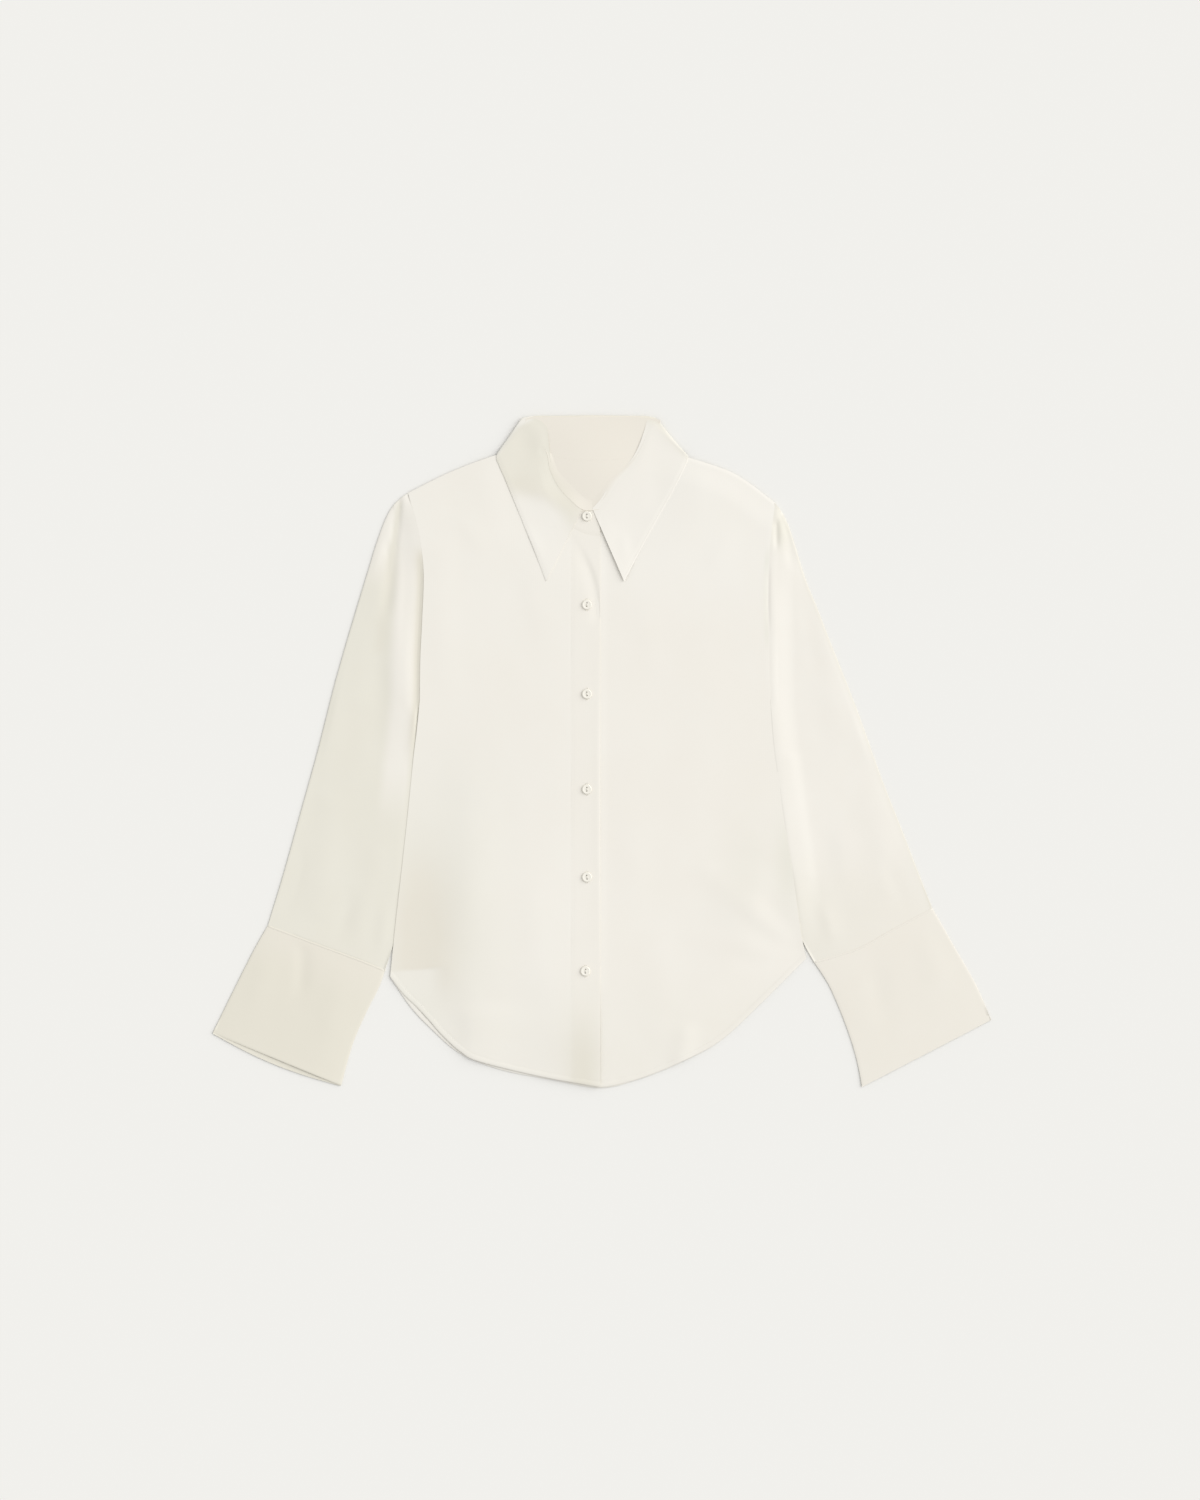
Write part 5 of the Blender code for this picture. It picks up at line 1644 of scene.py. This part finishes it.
# %% Build the stitch tree
def stitch_tree():
    tree = bpy.data.node_groups.new("stitches", "GeometryNodeTree")
    tree.interface.new_socket("Geometry", in_out="INPUT", socket_type="NodeSocketGeometry")
    for name in ("Pitch", "Length", "Thickness", "Turn"):
        tree.interface.new_socket(name, in_out="INPUT", socket_type="NodeSocketFloat")
    tree.interface.new_socket("Geometry", in_out="OUTPUT", socket_type="NodeSocketGeometry")
    given = tree.nodes.new("NodeGroupInput")
    path, pitch, length, thickness, turn = (Wire(tree, given.outputs[k]) for k in range(5))
    w = Wire(tree, None)
    curve = w.add("GeometryNodeMeshToCurve", Mesh=path)
    points = w.add("GeometryNodeResampleCurve", {"mode": "LENGTH"}, Curve=curve, Length=pitch)
    tangent = w.add("GeometryNodeInputTangent")
    turned = w.add("ShaderNodeVectorRotate", {"rotation_type": "Z_AXIS"}, Vector=tangent, Angle=turn)
    facing = w.add("FunctionNodeAlignRotationToVector", {"axis": "Z"}, Vector=turned)
    uneven = w.add("FunctionNodeRandomValue", {"data_type": "FLOAT"}, out=1, in_2=0.85, in_3=1.12, Seed=7)
    half, radius = length * uneven * 0.5, thickness * uneven * 0.5
    size = w.add("ShaderNodeCombineXYZ", X=radius, Y=radius, Z=half)
    bead = w.add("GeometryNodeMeshUVSphere", Segments=6, Rings=5, Radius=1.0)
    beads = w.add("GeometryNodeInstanceOnPoints", Points=points, Instance=bead, Rotation=facing, Scale=size)
    real = w.add("GeometryNodeRealizeInstances", Geometry=beads)
    smoothed = w.add("GeometryNodeSetShadeSmooth", Geometry=real)
    done = w.add("GeometryNodeSetMaterial", Geometry=smoothed, Material=THREAD)
    tree.links.new(done.socket, tree.nodes.new("NodeGroupOutput").inputs[0])
    return tree


def sew(name, paths, **sizes):
    """Stitches along paths in millimetres, as one plain mesh that stands for no solid."""
    points, edges = [], []
    for path in paths:
        edges += [(len(points) + k, len(points) + k + 1) for k in range(len(path) - 1)]
        points += [tuple(Vector(p) * MM) for p in path]
    mesh = bpy.data.meshes.new(name)
    mesh.from_pydata(points, edges, [])
    made = place_object(name, mesh)
    worked = made.modifiers.new("stitches", "NODES")
    worked.node_group = STITCHES
    for item in STITCHES.interface.items_tree:
        if item.in_out == "INPUT" and item.name in sizes:
            worked[item.identifier] = sizes[item.name]
    solid = evaluated_mesh(made)
    made.modifiers.clear()
    made.data = solid
    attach(made, "root")
    print(f"{name}: {len(solid.vertices)} points")


STITCHES = stitch_tree()
print("stitch tree", len(STITCHES.nodes), "nodes")

# %% [markdown]
# ## Seams
# The stitched lines of a shirt: down the facing, along both hems, inside the neck, below the
# cuffs' seams and round the leaf's edge. Each path asks the same face that the cloth was made
# from, so its stitches lie on it without any snapping.

# %% Sew the seams
SUNK = 0.02
LEAF_STITCH = 0.976  # share of the leaf's width
RIGHT_LEAF_ROWS, LEFT_LEAF_ROWS = int(LEAF_ROWS * 8.3 / 25), int(LEAF_ROWS * 7.3 / 25)  # that lie in front


def on_face(face, x, y):
    return np.stack([x, y, face(x, y) + SUNK], -1)


def inside_line(line, reach, away_from):
    """A line moved sideways, to the side that a given place is on."""
    ahead = np.gradient(line, axis=0)
    side = np.stack([-ahead[:, 1], ahead[:, 0]], -1)
    side /= np.linalg.norm(side, axis=1, keepdims=True)
    side *= np.sign(np.sum((np.array(away_from) - line) * side, axis=1))[:, None]
    return line + side * reach


facing_y = np.linspace(222, -348, 240)
facing_x = np.full(len(facing_y), FRONT_EDGE_X - FACING)
right_turn = inside_line(right_hem.line, HEM_TURN, (-60, 0))[4:-3]  # short of the side seam and the edge
left_turn = inside_line(left_hem.line, HEM_TURN, (60, 0))[22:-4]  # from where the right front covers it
neck_line = Edge([BACK_NECK]).at(np.linspace(0.16, 0.84, 60)) - (0, 2.4)
seams = [
    on_face(front_right_face, facing_x, facing_y), on_face(front_right_face, *right_turn.T),
    on_face(front_left_face, *left_turn.T), on_face(back_face, *neck_line.T),
]
for grid, downs in cuff_grids.values():
    ring = int(np.argmin(abs(downs - CUFF_STITCH)))
    seams.append(grid[ring, 8:4 + UPPER_STEPS] + (0, 0, SUNK))
leaf_stitched = leaf_face[:, int(np.argmin(abs(leaf_shares - LEAF_STITCH)))]
seams += [leaf_stitched[3:RIGHT_LEAF_ROWS], leaf_stitched[-LEFT_LEAF_ROWS:-3]]
sew("seam_stitches", seams, Pitch=0.0024, Length=0.0018, Thickness=0.00026, Turn=0.0)

# %% [markdown]
# ## Buttonholes
# Five upright slots down the placket, each edged with close stitches that cross its outline. The
# same stitch tree works them with a shorter step and a quarter turn. The band's own buttonhole
# is hidden under the button and the leaf.

# %% Work the buttonholes
HOLE_LENGTH, HOLE_WIDTH = 13.0, 2.2


def slot_path(x, y):
    """Round a buttonhole, down the placket."""
    turns = np.linspace(0, 2 * math.pi, 41)
    bulge = np.sign(np.sin(turns)) * (HOLE_LENGTH - HOLE_WIDTH) / 2
    px, py = HOLE_WIDTH / 2 * np.cos(turns), HOLE_WIDTH / 2 * np.sin(turns) + bulge
    return on_face(right_front_top, x + px, y + py)


slots = [slot_path(x, y) for x, y, _ in button_places[1:]]
sew("buttonhole_stitches", slots, Pitch=0.00042, Length=0.0013, Thickness=0.0004, Turn=math.pi / 2)
